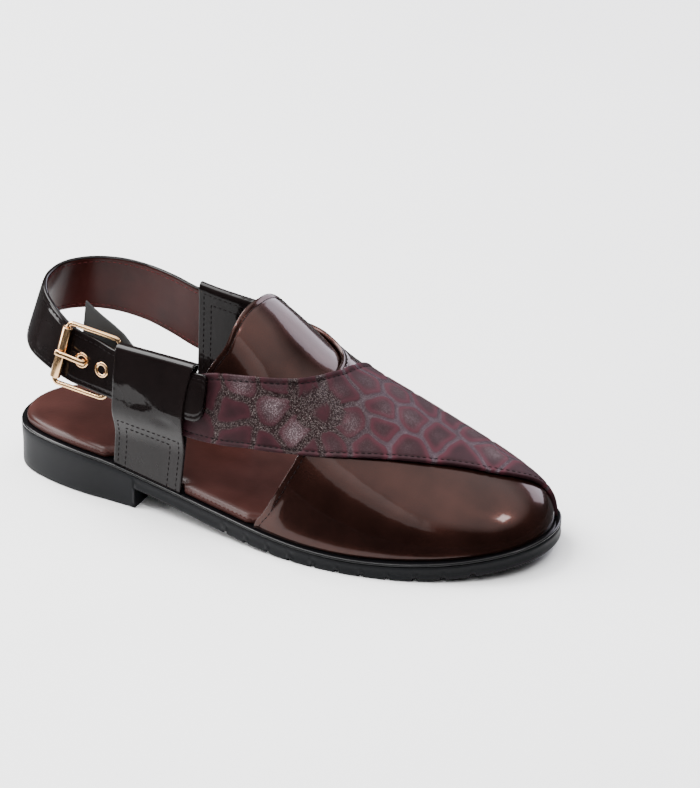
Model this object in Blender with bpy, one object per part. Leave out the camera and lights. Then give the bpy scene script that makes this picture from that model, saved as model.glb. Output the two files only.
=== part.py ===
"""A right peshawari chappal: a low-heeled leather sandal with two wide bands
that cross over the instep, and a buckled strap round the heel.

Metres, +X to the toe, +Y to the inner side of the foot, +Z up. The heel's
back is modelled at X = 0, and the last step puts the origin under the middle
of the whole shoe's box. Tables give places as shares of the named sizes.
"""

import bmesh
import bpy
import numpy as np
from mathutils import Vector

MM = 0.001

# Driving sizes
LENGTH = 298 * MM            # outsole, heel's back to toe
BALL_WIDTH = 102 * MM        # outsole across the ball
HEEL_HEIGHT = 24.5 * MM      # ground to the rim's top at the heel's back
FOREFOOT_SOLE = 8.8 * MM     # ground to the rim's top under the ball
ARCH_HEIGHT = 11 * MM        # ground to the sole at the heel's front
TOE_SPRING = 6.9 * MM        # lift of the toe's tip
INSTEP_HEIGHT = 72 * MM      # foot's ridge over the sole at the crossing
STRAP_TOP = 104 * MM         # top of the strap behind the heel
CLEARANCE = 0.3 * MM         # between pieces that touch
FACET_ROOM = 0.2 * MM        # more where two curved faces lie together

# Sole
RIM = 3.0 * MM               # rim seen outside the outer band
WELT_THICKNESS = 1.6 * MM
WELT_WIDTH = 9 * MM
INSOLE_THICKNESS = 4.2 * MM
INSOLE_ROUND = 2.6 * MM      # the footbed's edge is rounded over this
HEEL_FRONT = 0.279           # share of the length
SOLE_EDGE = 0.8 * MM         # chamfer along the ground
GROOVE_START = 0.47          # share of the length
GROOVE_WIDTH = 2.4 * MM
GROOVE_DEPTH = 1.3 * MM
GROOVE_PITCH = 13 * MM

# Walls, as offsets from the foot's own surface
UNDER_BAND = 2.1 * MM        # patent band, lies on the foot
OVER_BAND = 2.1 * MM         # printed band
OVER_BAND_SINK = 1.0 * MM    # how far the two bands are joined
EDGE_LIFT = 1.8 * MM         # printed band's free edge stands off by this
TONGUE_WALL = 1.6 * MM
LEAF = 1.1 * MM              # each leaf of a folded side loop
JOIN_EASE = 3.9 * MM         # leaves part over three times this height
FOLD_ROUND = 3.2 * MM
STRAP = 2.2 * MM
GUARD = 1.2 * MM
GUARD_ROOM = 2.3 * MM        # guard behind the hinge bar

# Buckle
ROLLER_TO_LOOP = 29.4 * MM   # roller's middle to the outer loop's rear edge
FIRST_HOLE = 10.5 * MM       # in front of the roller's middle
WIRE = 1.15 * MM             # frame's radius
ROLLER_RADIUS = 2.7 * MM
BUCKLE_SPAN = 26.5 * MM      # roller to hinge bar
BAR_DEPTH = 2.9 * MM         # hinge bar's middle behind the strap
BUCKLE_HEIGHT = 33 * MM      # between the arms' centre lines
REAR_CORNER = 2.4 * MM
FRONT_CORNER = 3.5 * MM
PRONG_RADIUS = 0.8 * MM
HOLE_RADIUS = 3.2 * MM       # through the strap
EYELET_BORE = 2.3 * MM
EYELET_FLANGE = 4.1 * MM
EYELET_SHEET = 0.5 * MM
HOLE_PITCH = 12.5 * MM

# Outline of the sole: along, centre and half width (shares of ball width)
OUTLINE = np.array([
    (0.00, 0.055, 0.000),
    (0.03, 0.066, 0.225),
    (0.08, 0.063, 0.305),
    (0.16, 0.046, 0.354),
    (0.25, 0.012, 0.352),
    (0.35, -0.037, 0.346),
    (0.45, -0.074, 0.372),
    (0.55, -0.082, 0.428),
    (0.63, -0.064, 0.476),
    (0.70, -0.041, 0.500),
    (0.77, -0.019, 0.493),
    (0.85, -0.001, 0.440),
    (0.92, 0.016, 0.351),
    (0.97, 0.036, 0.242),
    (1.00, 0.045, 0.000),
])

# Rim's top: along, share of the heel's rise, share of the toe's spring
RIM_LINE = np.array([
    (0.00, 1.00, 0.00),
    (0.20, 0.90, 0.00),
    (0.35, 0.51, 0.00),
    (0.50, 0.21, 0.00),
    (0.62, 0.02, 0.02),
    (0.75, 0.00, 0.03),
    (0.87, 0.00, 0.33),
    (1.00, 0.00, 1.04),
])

# Underside in front of the heel: along, share of the arch, of the spring
UNDERSIDE = np.array([
    (HEEL_FRONT, 1.00, 0.00),
    (0.40, 0.53, 0.00),
    (0.52, 0.16, 0.00),
    (0.60, 0.00, 0.00),
    (0.76, 0.00, 0.00),
    (0.88, 0.00, 0.30),
    (1.00, 0.00, 1.00),
])

# Footbed's outer and inner edge, in from the sole's edge: along, and share
# of the welt's width
INSOLE_OUTER_EDGE = np.array([(0.0, 0.36), (0.212, 0.38), (0.224, 0.80), (0.370, 0.80), (0.377, 0.38),
                              (0.510, 0.38), (0.524, 0.71), (0.9, 0.71), (1.0, 0.82)])
INSOLE_INNER_EDGE = np.array([(0.0, 0.36), (0.274, 0.36), (0.287, 0.87), (0.416, 0.87), (0.424, 0.40),
                              (0.520, 0.40), (0.533, 0.71), (0.9, 0.71), (1.0, 0.82)])

# Foot's form: along, ridge height (share of the instep), roundness of the
# section, and the ridge's shift to the inner side (share of ball width)
FOOT = np.array([
    (0.00, 1.71, 3.0, 0.03),
    (0.20, 1.69, 3.0, 0.03),
    (0.30, 1.62, 3.0, 0.06),
    (0.40, 1.50, 3.0, 0.09),
    (0.50, 1.29, 2.8, 0.11),
    (0.60, 1.00, 2.5, 0.12),
    (0.70, 0.785, 2.3, 0.12),
    (0.80, 0.563, 2.3, 0.12),
    (0.88, 0.410, 2.3, 0.105),
    (0.94, 0.292, 2.2, 0.08),
    (0.98, 0.174, 2.2, 0.04),
    (1.00, 0.000, 2.2, 0.00),
])

# Edges of the two bands: along the foot, and around it from the outer
# feather line (0) over the ridge (0.5) to the inner one (1)
OVER_FREE_EDGE = [
    (0.285, 0.060), (0.335, 0.056), (0.382, 0.055), (0.449, 0.072),
    (0.515, 0.109), (0.608, 0.182), (0.701, 0.257), (0.789, 0.335),
    (0.866, 0.408), (0.917, 0.460), (0.952, 0.535), (0.973, 0.640),
    (0.985, 0.790), (0.990, 1.000),
]
OVER_THROAT_EDGE = [
    (0.285, 0.130), (0.340, 0.142), (0.400, 0.160), (0.430, 0.184),
    (0.481, 0.228), (0.528, 0.281), (0.569, 0.349), (0.597, 0.422),
    (0.617, 0.500), (0.626, 0.600), (0.624, 0.690), (0.608, 0.780),
    (0.585, 0.860), (0.560, 0.935), (0.540, 1.000),
]
UNDER_THROAT_EDGE = [
    (0.362, 0.812), (0.400, 0.800), (0.430, 0.776), (0.474, 0.738), (0.512, 0.700),
    (0.546, 0.650), (0.582, 0.590), (0.604, 0.520), (0.612, 0.440),
    (0.613, 0.350), (0.610, 0.250), (0.603, 0.170), (0.587, 0.108),
    (0.568, 0.054), (0.548, 0.017), (0.530, 0.000),
]
UNDER_LOW_EDGE = [
    (0.362, 0.946), (0.400, 0.943), (0.450, 0.930), (0.500, 0.907),
    (0.583, 0.850), (0.660, 0.740), (0.750, 0.640), (0.830, 0.610),
    (0.900, 0.640), (0.945, 0.720), (0.970, 0.840), (0.976, 0.965),
]

# Tongue: rear edge over the instep, and its hidden root in front
TONGUE_REAR_EDGE = [
    (0.416, 0.188), (0.429, 0.206), (0.441, 0.250), (0.449, 0.330),
    (0.456, 0.420), (0.462, 0.500), (0.470, 0.570), (0.486, 0.640),
    (0.510, 0.700), (0.540, 0.730),
]
TONGUE_ROOT = [
    (0.452, 0.158), (0.500, 0.180), (0.550, 0.230), (0.600, 0.300),
    (0.640, 0.390), (0.655, 0.480), (0.655, 0.560), (0.645, 0.640),
    (0.620, 0.700), (0.590, 0.740),
]

# Side loops: height over the ground (share of the strap's top), rear and
# front edge (shares of length)
OUTER_LOOP = np.array([
    (0.00, 0.229, 0.366),
    (0.45, 0.243, 0.384),
    (0.70, 0.248, 0.391),
    (0.86, 0.252, 0.404),
])
INNER_LOOP = np.array([
    (0.00, 0.292, 0.412),
    (0.50, 0.296, 0.414),
    (0.97, 0.304, 0.420),
])
OUTER_LOOP_TOP = (0.862, 0.842)      # rear and front, shares of strap's top
INNER_LOOP_TOP = (0.972, 0.940)
OUTER_LOOP_JOIN = 0.43               # leaves are sewn together up to here
INNER_LOOP_JOIN = 0.35

# Heel strap between the loops: share of length, side (share of ball width)
# and height (share of strap's top) of the lower edge, then of the upper one
STRAP_RUN = np.array([
    (0.208, -0.328, 0.598, 0.212, -0.285, 0.848),
    (0.158, -0.314, 0.622, 0.162, -0.264, 0.880),
    (0.112, -0.284, 0.660, 0.122, -0.216, 0.932),
    (0.070, -0.222, 0.697, 0.090, -0.145, 0.968),
    (0.044, -0.110, 0.720, 0.069, -0.050, 0.990),
    (0.034, 0.035, 0.724, 0.060, 0.060, 0.998),
    (0.041, 0.185, 0.720, 0.067, 0.175, 1.002),
    (0.069, 0.295, 0.711, 0.093, 0.270, 1.000),
    (0.118, 0.350, 0.702, 0.136, 0.326, 0.996),
    (0.180, 0.362, 0.678, 0.190, 0.340, 0.982),
    (0.238, 0.340, 0.640, 0.244, 0.322, 0.960),
])
# Inside the loops: share of length, and of strap's top for both edges
STRAP_IN_OUTER_LOOP = [(0.428, 0.580, 0.796), (0.395, 0.574, 0.800),
                       (0.350, 0.570, 0.805), (0.300, 0.570, 0.811),
                       (0.250, 0.576, 0.821)]
STRAP_IN_INNER_LOOP = [(0.286, 0.606, 0.936), (0.346, 0.590, 0.905)]
TIP_SHAPE = [(0.0, 0.66), (0.2, 0.85), (0.5, 0.96), (1.0, 1.0)]
TIP_ROUND = 6 * MM

# Flap behind the buckle: share of length and of strap's top for its lower
# edge, then its upper one, and share of its room behind the hinge bar
GUARD_ROWS = [(0.160, 0.640, 0.170, 1.005, 1.0), (0.178, 0.625, 0.186, 0.980, 1.0),
              (0.198, 0.612, 0.204, 0.953, 1.0), (0.222, 0.600, 0.226, 0.922, 1.0),
              (0.246, 0.590, 0.248, 0.885, 1.0), (0.266, 0.585, 0.268, 0.846, 0.25),
              (0.292, 0.585, 0.294, 0.815, 0.25)]

# Numbers of facets
SOLE_STATIONS = 40
BAND_ROWS = 32
BAND_COLUMNS = 12
LOOP_STATIONS = 7
TUNNEL_ROWS = 6


def curve(table, x, column=1):
    """Smooth curve through a table's rows, flat where two rows are equal."""
    xs = table[:, 0]
    ys = table[:, column]
    x = np.asarray(x, float)
    step = np.diff(xs)
    rise = np.diff(ys) / step
    slope = np.empty_like(ys)
    slope[0] = rise[0]
    slope[-1] = rise[-1]
    slope[1:-1] = (rise[:-1] * step[1:] + rise[1:] * step[:-1]) / (step[1:] + step[:-1])
    flat = (rise[:-1] == 0) | (rise[1:] == 0)
    slope[1:-1][flat] = 0
    i = np.clip(np.searchsorted(xs, x, side="right") - 1, 0, len(xs) - 2)
    t = (x - xs[i]) / step[i]
    start = (2 * t ** 3 - 3 * t ** 2 + 1) * ys[i] + (t ** 3 - 2 * t ** 2 + t) * step[i] * slope[i]
    return start + (3 * t ** 2 - 2 * t ** 3) * ys[i + 1] + (t ** 3 - t ** 2) * step[i] * slope[i + 1]


def turn(along):
    """Angle round the outline's ends, so that heel and toe come out round."""
    return np.arccos(np.clip(1 - 2 * np.asarray(along, float), -1, 1)) / np.pi


def turned(table):
    """The table with its places given as turns."""
    return np.column_stack([turn(table[:, 0]), table[:, 1:]])


def centre(along):
    """Middle of the sole across, at a share of its length."""
    return curve(turned(OUTLINE), turn(along), 1) * BALL_WIDTH


def half_width(along):
    """Half of the sole's width at a share of its length."""
    return np.maximum(curve(turned(OUTLINE), turn(along), 2), 0) * BALL_WIDTH


def rim_height(along):
    """Height of the rim's top over the ground."""
    heel = curve(RIM_LINE, along, 1) * (HEEL_HEIGHT - FOREFOOT_SOLE)
    return FOREFOOT_SOLE + heel + curve(RIM_LINE, along, 2) * TOE_SPRING


def underside_height(along):
    """Height of the sole's underside, flat under heel and ball."""
    along = np.asarray(along, float)
    front = np.maximum(along, HEEL_FRONT)
    arch = curve(UNDERSIDE, front, 1) * ARCH_HEIGHT
    spring = curve(UNDERSIDE, front, 2) * TOE_SPRING
    return np.where(along < HEEL_FRONT, 0.0, arch + spring)


def foot_inset():
    """From the sole's outline in to the foot's surface."""
    return RIM + CLEARANCE + UNDER_BAND


def foot_point(along, around):
    """The foot's surface: a rounded tunnel over the sole's outline."""
    along, around = np.broadcast_arrays(np.asarray(along, float), np.asarray(around, float))
    inset = foot_inset()
    x = inset + along * (LENGTH - 2 * inset)
    place = x / LENGTH
    width = half_width(along) * (BALL_WIDTH - 2 * inset) / BALL_WIDTH
    height = curve(turned(FOOT), turn(along), 1) * INSTEP_HEIGHT
    power = 2 / curve(FOOT, along, 2)
    shift = curve(FOOT, along, 3) * BALL_WIDTH
    angle = around * np.pi
    side = -np.sign(np.cos(angle)) * np.abs(np.cos(angle)) ** power
    up = np.abs(np.sin(angle)) ** power
    y = centre(place) + width * side + shift * up ** 2
    z = rim_height(place) + CLEARANCE + FACET_ROOM + height * up
    return np.stack([x, y, z], axis=-1)


def foot_normal(along, around):
    """Outward direction of the foot's surface, from its neighbours."""
    step = 2e-4
    along = np.clip(along, step, 1 - 2 * step)
    around = np.clip(around, step, 1 - step)
    ahead = foot_point(along + step, around) - foot_point(along - step, around)
    over = foot_point(along, around + step) - foot_point(along, around - step)
    normal = np.cross(ahead, over)
    return normal / np.linalg.norm(normal, axis=-1, keepdims=True)


def foot(along, around, offset=0.0):
    """A point on the foot's surface, moved out by an offset."""
    offset = np.asarray(offset, float)[..., None]
    return foot_point(along, around) + foot_normal(along, around) * offset


def around_at_height(along, height, inner):
    """How far around the foot a height over the ground lies."""
    inset = foot_inset()
    place = (inset + along * (LENGTH - 2 * inset)) / LENGTH
    ridge = curve(turned(FOOT), turn(along), 1) * INSTEP_HEIGHT
    up = np.clip((height - rim_height(place) - CLEARANCE - FACET_ROOM) / ridge, 0, 1)
    share = np.arcsin(up ** (curve(FOOT, along, 2) / 2)) / np.pi
    return 1 - share if inner else share


def flank(x, height, inner, offset):
    """The foot's side wall at a place along and a height, moved out."""
    inset = foot_inset()
    along = (np.asarray(x, float) - inset) / (LENGTH - 2 * inset)
    return foot(along, around_at_height(along, height, inner), offset)


def unfold(edge):
    """Edge points in a flat map where the toe isn't pinched to a point."""
    edge = np.asarray(edge, float)
    width = np.sqrt(np.clip(1 - (2 * edge[:, 0] - 1) ** 2, 0, None))
    width = np.where(edge[:, 0] < 0.5, 1, width)
    return np.column_stack([edge[:, 0], (edge[:, 1] - 0.5) * width])


def fold(flat):
    """Back from the flat map to shares along and around the foot."""
    along = np.clip(flat[..., 0], 0, 1)
    width = np.sqrt(np.clip(1 - (2 * along - 1) ** 2, 1e-9, None))
    width = np.where(along < 0.5, 1, width)
    return along, np.clip(flat[..., 1] / width + 0.5, 0, 1)


def feather(start, end, inner_start, inner_end, count, reach=1.0):
    """The foot's lower edge round the toe, in the flat map. The reach is
    how far down the inner side it comes, as a share of the way around."""
    first = np.arccos(2 * start - 1) * (1 if inner_start else -1)
    last = np.arccos(2 * end - 1) * (1 if inner_end else -1)
    angle = np.linspace(first, last, count)
    side = np.where(angle > 0, reach - 0.5, 0.5)
    return np.column_stack([0.5 + 0.5 * np.cos(angle), side * np.sin(angle)])


def through(points, count):
    """Smooth path through points, resampled evenly along its length."""
    points = np.asarray(points, float)
    reach = np.r_[0, np.cumsum(np.linalg.norm(np.diff(points, axis=0), axis=1))]
    table = np.column_stack([reach / reach[-1], points])
    share = np.linspace(0, 1, count)
    return np.column_stack([curve(table, share, 1 + k) for k in range(points.shape[1])])


def patch(low, high, start, end):
    """Surface spanned by four edges: low and high run from start to end."""
    a = np.linspace(0, 1, len(low))[:, None, None]
    b = np.linspace(0, 1, len(start))[None, :, None]
    ruled = (1 - b) * low[:, None] + b * high[:, None]
    crossed = (1 - a) * start[None] + a * end[None]
    corners = (1 - a) * (1 - b) * low[0] + (1 - a) * b * high[0]
    corners = corners + a * (1 - b) * low[-1] + a * b * high[-1]
    return ruled + crossed - corners


def add_object(name, vertices, faces, material):
    """A mesh object with its faces pointing out."""
    mesh = bpy.data.meshes.new(name)
    mesh.from_pydata([tuple(v) for v in np.asarray(vertices, float)], [], faces)
    shape = bmesh.new()
    shape.from_mesh(mesh)
    bmesh.ops.remove_doubles(shape, verts=shape.verts, dist=1e-6)
    bmesh.ops.triangulate(shape, faces=shape.faces)
    bmesh.ops.recalc_face_normals(shape, faces=shape.faces)
    shape.to_mesh(mesh)
    shape.free()
    mesh.materials.append(material)
    thing = bpy.data.objects.new(name, mesh)
    bpy.context.scene.collection.objects.link(thing)
    return thing


def sheet(name, inside, outside, material):
    """A solid between two grids of points, closed round its rim."""
    rows, columns = inside.shape[:2]
    count = rows * columns
    index = np.arange(count).reshape(rows, columns)
    faces = []
    for i in range(rows - 1):
        for j in range(columns - 1):
            quad = [index[i, j], index[i + 1, j], index[i + 1, j + 1], index[i, j + 1]]
            faces.append([int(v) for v in quad])
            faces.append([int(v) + count for v in reversed(quad)])
    rim = list(index[:, 0]) + list(index[-1, 1:]) + list(index[-2::-1, -1]) + list(index[0, -2:0:-1])
    for first, second in zip(rim, rim[1:] + rim[:1]):
        faces.append([int(second), int(first), int(first) + count, int(second) + count])
    points = np.concatenate([inside.reshape(-1, 3), outside.reshape(-1, 3)])
    return add_object(name, points, faces, material)


def ring_solid(name, rings, material, closed=False):
    """Closed rings joined one to the next; open ends get a flat cap."""
    rings = np.asarray(rings, float)
    rows, columns = rings.shape[:2]
    faces = []
    for i in range(rows if closed else rows - 1):
        below = i * columns
        above = ((i + 1) % rows) * columns
        for j in range(columns):
            k = (j + 1) % columns
            faces.append([below + j, below + k, above + k, above + j])
    if not closed:
        faces.append(list(range(columns))[::-1])
        faces.append([(rows - 1) * columns + j for j in range(columns)])
    return add_object(name, rings.reshape(-1, 3), faces, material)


def tube(name, path, radius, sides, material, closed=False):
    """A round wire along a path."""
    path = np.asarray(path, float)
    if closed:
        tangent = np.roll(path, -1, axis=0) - np.roll(path, 1, axis=0)
    else:
        tangent = np.gradient(path, axis=0)
    tangent /= np.linalg.norm(tangent, axis=1, keepdims=True)
    spread = np.linalg.svd(path - path.mean(axis=0))[2][2]
    side = np.cross(tangent, spread)
    side /= np.linalg.norm(side, axis=1, keepdims=True)
    other = np.cross(side, tangent)
    angle = np.arange(sides) * 2 * np.pi / sides
    radius = np.broadcast_to(radius, len(path))[:, None, None]
    ring = np.cos(angle)[None, :, None] * side[:, None] + np.sin(angle)[None, :, None] * other[:, None]
    return ring_solid(name, path[:, None] + ring * radius, material, closed)


def material(name, colour, roughness, metallic=0.0, coat=0.0):
    """A plain shader in one colour."""
    made = bpy.data.materials.new(name)
    made.use_nodes = True
    shader = made.node_tree.nodes["Principled BSDF"]
    shader.inputs["Base Color"].default_value = (*colour, 1.0)
    shader.inputs["Roughness"].default_value = roughness
    shader.inputs["Metallic"].default_value = metallic
    shader.inputs["Coat Weight"].default_value = coat
    return made


def boolean(target, tool, operation):
    """Join to, or cut from, the target with a hidden tool object."""
    modifier = target.modifiers.new(tool.name, "BOOLEAN")
    modifier.operation = operation
    modifier.solver = "EXACT"
    modifier.object = tool
    tool.hide_render = True
    tool.display_type = "WIRE"


def outline_stations():
    """Shares of the length for the sole's facets, close at both ends."""
    along = (1 - np.cos(np.linspace(0, np.pi, SOLE_STATIONS + 1))) / 2
    edge = 0.001
    along = along[np.abs(along - HEEL_FRONT) > 0.012]
    return np.sort(np.r_[along, HEEL_FRONT - edge, HEEL_FRONT + edge])


def outline(along, inset):
    """Points up the outer side to the toe and back down the inner side."""
    outer = np.column_stack([along * LENGTH, centre(along) - half_width(along)])
    inner = np.column_stack([along * LENGTH, centre(along) + half_width(along)])
    loop = np.concatenate([outer, inner[-2:0:-1]])
    ahead = np.roll(loop, -1, axis=0) - np.roll(loop, 1, axis=0)
    ahead /= np.linalg.norm(ahead, axis=1, keepdims=True)
    inward = np.column_stack([-ahead[:, 1], ahead[:, 0]])
    return loop + inward * np.asarray(inset)[..., None]


def slab(name, along, layers, material):
    """Stacked outlines closed above and below by strips across."""
    rings = []
    for inset, height in layers:
        loop = outline(along, inset)
        place = np.clip(loop[:, 0] / LENGTH, 0, 1)
        stations = np.concatenate([along, along[-2:0:-1]])
        rings.append(np.column_stack([loop, height(place, stations)]))
    rings = np.array(rings)
    columns = rings.shape[1]
    faces = []
    for i in range(len(rings) - 1):
        for j in range(columns):
            k = (j + 1) % columns
            faces.append([i * columns + j, i * columns + k, (i + 1) * columns + k, (i + 1) * columns + j])
    last = len(along) - 1
    for i in range(last):
        pair = [i, i + 1, (columns - i - 1) % columns, (columns - i) % columns]
        face = list(dict.fromkeys(pair))
        faces.append(face[::-1])
        faces.append([(len(rings) - 1) * columns + v for v in face])
    return add_object(name, rings.reshape(-1, 3), faces, material)


def make_outsole(rubber):
    """Moulded sole with a low heel, a raised waist and grooves across."""
    top = WELT_THICKNESS + CLEARANCE
    along = outline_stations()

    def upper(place, station):
        return rim_height(place) - top

    def shoulder(place, station):
        return rim_height(place) - top - SOLE_EDGE

    def wall_foot(place, station):
        return underside_height(station) + SOLE_EDGE

    def ground(place, station):
        return underside_height(station)

    layers = [(SOLE_EDGE, ground), (0.0, wall_foot), (0.0, shoulder), (SOLE_EDGE / 2, upper)]
    sole = slab("outsole", along, layers, rubber)
    cutter = groove_cutter(rubber)
    boolean(sole, cutter, "DIFFERENCE")
    return sole


def groove_cutter(rubber):
    """Bars that cut the tread's grooves across the front of the sole."""
    shape = bmesh.new()
    first = GROOVE_START * LENGTH
    count = int(first / GROOVE_PITCH)
    for number in range(count + 1):
        x = first + number * GROOVE_PITCH
        z = float(underside_height(x / LENGTH))
        box = bmesh.ops.create_cube(shape, size=1.0)
        for vertex in box["verts"]:
            vertex.co.x = x + vertex.co.x * GROOVE_WIDTH
            vertex.co.y = vertex.co.y * 2 * BALL_WIDTH
            vertex.co.z = z + vertex.co.z * 2 * GROOVE_DEPTH
    mesh = bpy.data.meshes.new("groove_cutter")
    shape.to_mesh(mesh)
    shape.free()
    cutter = bpy.data.objects.new("groove_cutter", mesh)
    mesh.materials.append(rubber)
    bpy.context.scene.collection.objects.link(cutter)
    return cutter


def make_welt(rubber):
    """Thin glossy rim laid on the sole's edge, open in the middle."""
    along = (1 - np.cos(np.linspace(0, np.pi, SOLE_STATIONS + 1))) / 2
    rings = []
    edge = WELT_THICKNESS / 4
    for inset, drop in ((edge, WELT_THICKNESS), (0.0, WELT_THICKNESS / 2), (edge, 0.0),
                        (WELT_WIDTH, 0.0), (WELT_WIDTH, WELT_THICKNESS)):
        loop = outline(along, inset)
        place = np.clip(loop[:, 0] / LENGTH, 0, 1)
        rings.append(np.column_stack([loop, rim_height(place) - drop]))
    return ring_solid("welt", np.array(rings), rubber, closed=True)


def insole_inset(along):
    """How far the padded board stays in: wide at heel and waist, and
    narrow where bands and loops come down beside it."""
    first = np.interp(along, INSOLE_OUTER_EDGE[:, 0], INSOLE_OUTER_EDGE[:, 1])
    second = np.interp(along, INSOLE_INNER_EDGE[:, 0], INSOLE_INNER_EDGE[:, 1])
    return np.r_[first, second[-2:0:-1]] * WELT_WIDTH


def make_insole(leather):
    """Padded footbed with a rounded edge, lying on the welt."""
    along = (1 - np.cos(np.linspace(0, np.pi, SOLE_STATIONS + 1))) / 2
    along = np.unique(np.r_[along, INSOLE_OUTER_EDGE[:, 0], INSOLE_INNER_EDGE[:, 0]])
    inset = insole_inset(along)

    def level(share):
        return lambda place, station: rim_height(place) + CLEARANCE + share * INSOLE_THICKNESS

    layers = [(inset, level(0.0)), (inset, level(0.55)), (inset + 0.35 * INSOLE_ROUND, level(0.88)),
              (inset + INSOLE_ROUND, level(1.0))]
    return slab("insole", along, layers, leather)


def make_under_band(name, leather):
    """Patent band: inner loop, over the instep, round the outer toe."""
    throat = through(unfold(UNDER_THROAT_EDGE), BAND_ROWS)
    low = through(unfold(UNDER_LOW_EDGE), BAND_ROWS)
    across = BAND_COLUMNS + 5
    start = np.linspace(throat[0], low[0], across)
    end = feather(0.530, 0.976, False, True, across, UNDER_LOW_EDGE[-1][1])
    flat = patch(throat, low, start, end)
    along, around = fold(flat)
    return sheet(name, foot(along, around), foot(along, around, UNDER_BAND), leather)


def make_over_band(name, leather):
    """Printed band: outer loop, over the instep, round the inner toe."""
    free = through(unfold(OVER_FREE_EDGE), BAND_ROWS)
    throat = through(unfold(OVER_THROAT_EDGE), BAND_ROWS)
    across = BAND_COLUMNS + 1
    start = np.linspace(free[0], throat[0], across)
    end = feather(0.990, 0.540, True, True, across)
    flat = patch(free, throat, start, end)
    along, around = fold(flat)
    inside = UNDER_BAND - OVER_BAND_SINK
    share = np.linspace(0, 1, BAND_ROWS)[:, None]
    near_edge = (np.arange(across)[None] < 2) * 1.0
    standing = np.clip((share - 0.18) / 0.15, 0, 1) * np.clip((1 - share) / 0.1, 0, 1)
    lift = EDGE_LIFT * near_edge * standing
    return sheet(name, foot(along, around, inside + lift),
                 foot(along, around, inside + OVER_BAND + lift * 0.6), leather)


def make_upper(leather):
    """The two bands joined where they cross: one hollow, open form."""
    upper = make_under_band("upper", leather)
    crossing = make_over_band("crossing_band", leather)
    boolean(upper, crossing, "UNION")
    return upper


def make_tongue(leather):
    """Curved leaf under the crossing, standing up over the instep."""
    rear = through(unfold(TONGUE_REAR_EDGE), 15)
    root = through(unfold(TONGUE_ROOT), 15)
    start = np.linspace(rear[0], root[0], 9)
    end = np.linspace(rear[-1], root[-1], 9)
    along, around = fold(patch(rear, root, start, end))
    outside = -CLEARANCE - FACET_ROOM
    return sheet("tongue", foot(along, around, outside - TONGUE_WALL), foot(along, around, outside), leather)


def outer_loop_layers():
    """Faces of the outer loop's leaves, from the foot's surface: it holds
    the printed band's end and the strap's free end."""
    room = CLEARANCE + FACET_ROOM
    hollow = UNDER_BAND - OVER_BAND_SINK - room
    cover = over_band_face() + room + STRAP + room
    return hollow - LEAF, hollow, cover, cover + LEAF


def inner_loop_layers():
    """Faces of the inner loop's leaves: it holds the ends of the patent
    band and of the strap, which meet inside it."""
    room = CLEARANCE + FACET_ROOM
    cover = max(STRAP, UNDER_BAND) + 1.4 * room
    return -room - LEAF, -room, cover, cover + LEAF


def loop_profile(x, inner, top, join, layers):
    """Outer and tunnel outlines of a folded side loop at one place."""
    base = rim_height(x / LENGTH) + CLEARANCE
    inside, tunnel_in, tunnel_out, outside = layers
    joined = inside + 2 * LEAF
    halfway = (joined + outside) / 2
    full = np.linspace(join + 3 * JOIN_EASE, top - FOLD_ROUND, TUNNEL_ROWS)
    open_rows = np.r_[join + JOIN_EASE, full]
    shoulder = 0.16 * (outside - inside)
    rise = np.r_[base, (base + join) / 2, join, open_rows, top - 0.3 * FOLD_ROUND]
    push = np.r_[joined, joined, joined, halfway, np.full(TUNNEL_ROWS, outside), outside - shoulder]
    outer_face = [flank(x, z, inner, offset) for z, offset in zip(rise, push)]
    crown = flank(x, top, inner, (inside + outside) / 2)
    push = np.r_[np.full(len(rise) - 1, inside), inside + shoulder]
    inner_face = [flank(x, z, inner, offset) for z, offset in zip(rise, push)]
    rise = np.r_[join + 0.4 * JOIN_EASE, open_rows]
    push = np.r_[inside + LEAF * 1.05, (tunnel_in + tunnel_out) / 2, np.full(TUNNEL_ROWS, tunnel_out)]
    hollow_out = [flank(x, z, inner, offset) for z, offset in zip(rise, push)]
    hollow_top = flank(x, top - LEAF - CLEARANCE, inner, (tunnel_in + tunnel_out) / 2)
    hollow_in = [flank(x, z, inner, tunnel_in) for z in rise]
    outer = outer_face + [crown] + inner_face[::-1]
    hollow = hollow_out + [hollow_top] + hollow_in[::-1]
    return np.array(outer), np.array(hollow)


def make_loop(name, inner, edges, tops, join, layers, leather):
    """Wide leather strap folded over at the top; both ends meet at the
    sole, and its hollow takes what is sewn or slid into it."""
    stations = LOOP_STATIONS
    outers = []
    hollows = []
    for share in np.linspace(0, 1, stations):
        top = (tops[0] + (tops[1] - tops[0]) * share) * STRAP_TOP
        x = (edges[1, 1] * (1 - share) + edges[1, 2] * share) * LENGTH
        outer, hollow = loop_profile(x, inner, top, join * STRAP_TOP, layers)
        for ring in (outer, hollow):
            level = np.clip(ring[:, 2] / STRAP_TOP, 0, edges[-1, 0])
            rear = curve(edges, level, 1)
            front = curve(edges, level, 2)
            ring[:, 0] = (rear + (front - rear) * share) * LENGTH
        outers.append(outer)
        hollows.append(hollow)
    outer = np.array(outers)
    hollow = np.array(hollows)
    wide = outer.shape[1]
    narrow = hollow.shape[1]
    points = np.concatenate([outer.reshape(-1, 3), hollow.reshape(-1, 3)])
    shift = stations * wide
    faces = []
    for i in range(stations - 1):
        for j in range(wide):
            k = (j + 1) % wide
            faces.append([i * wide + j, i * wide + k, (i + 1) * wide + k, (i + 1) * wide + j])
        for j in range(narrow):
            k = (j + 1) % narrow
            faces.append([shift + i * narrow + k, shift + i * narrow + j,
                          shift + (i + 1) * narrow + j, shift + (i + 1) * narrow + k])
    for i, back in ((0, True), (stations - 1, False)):
        for face in end_faces(wide, narrow):
            whole = [i * wide + v if v < wide else shift + i * narrow + v - wide for v in face]
            faces.append(whole[::-1] if back else whole)
    return add_object(name, points, faces, leather)


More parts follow.
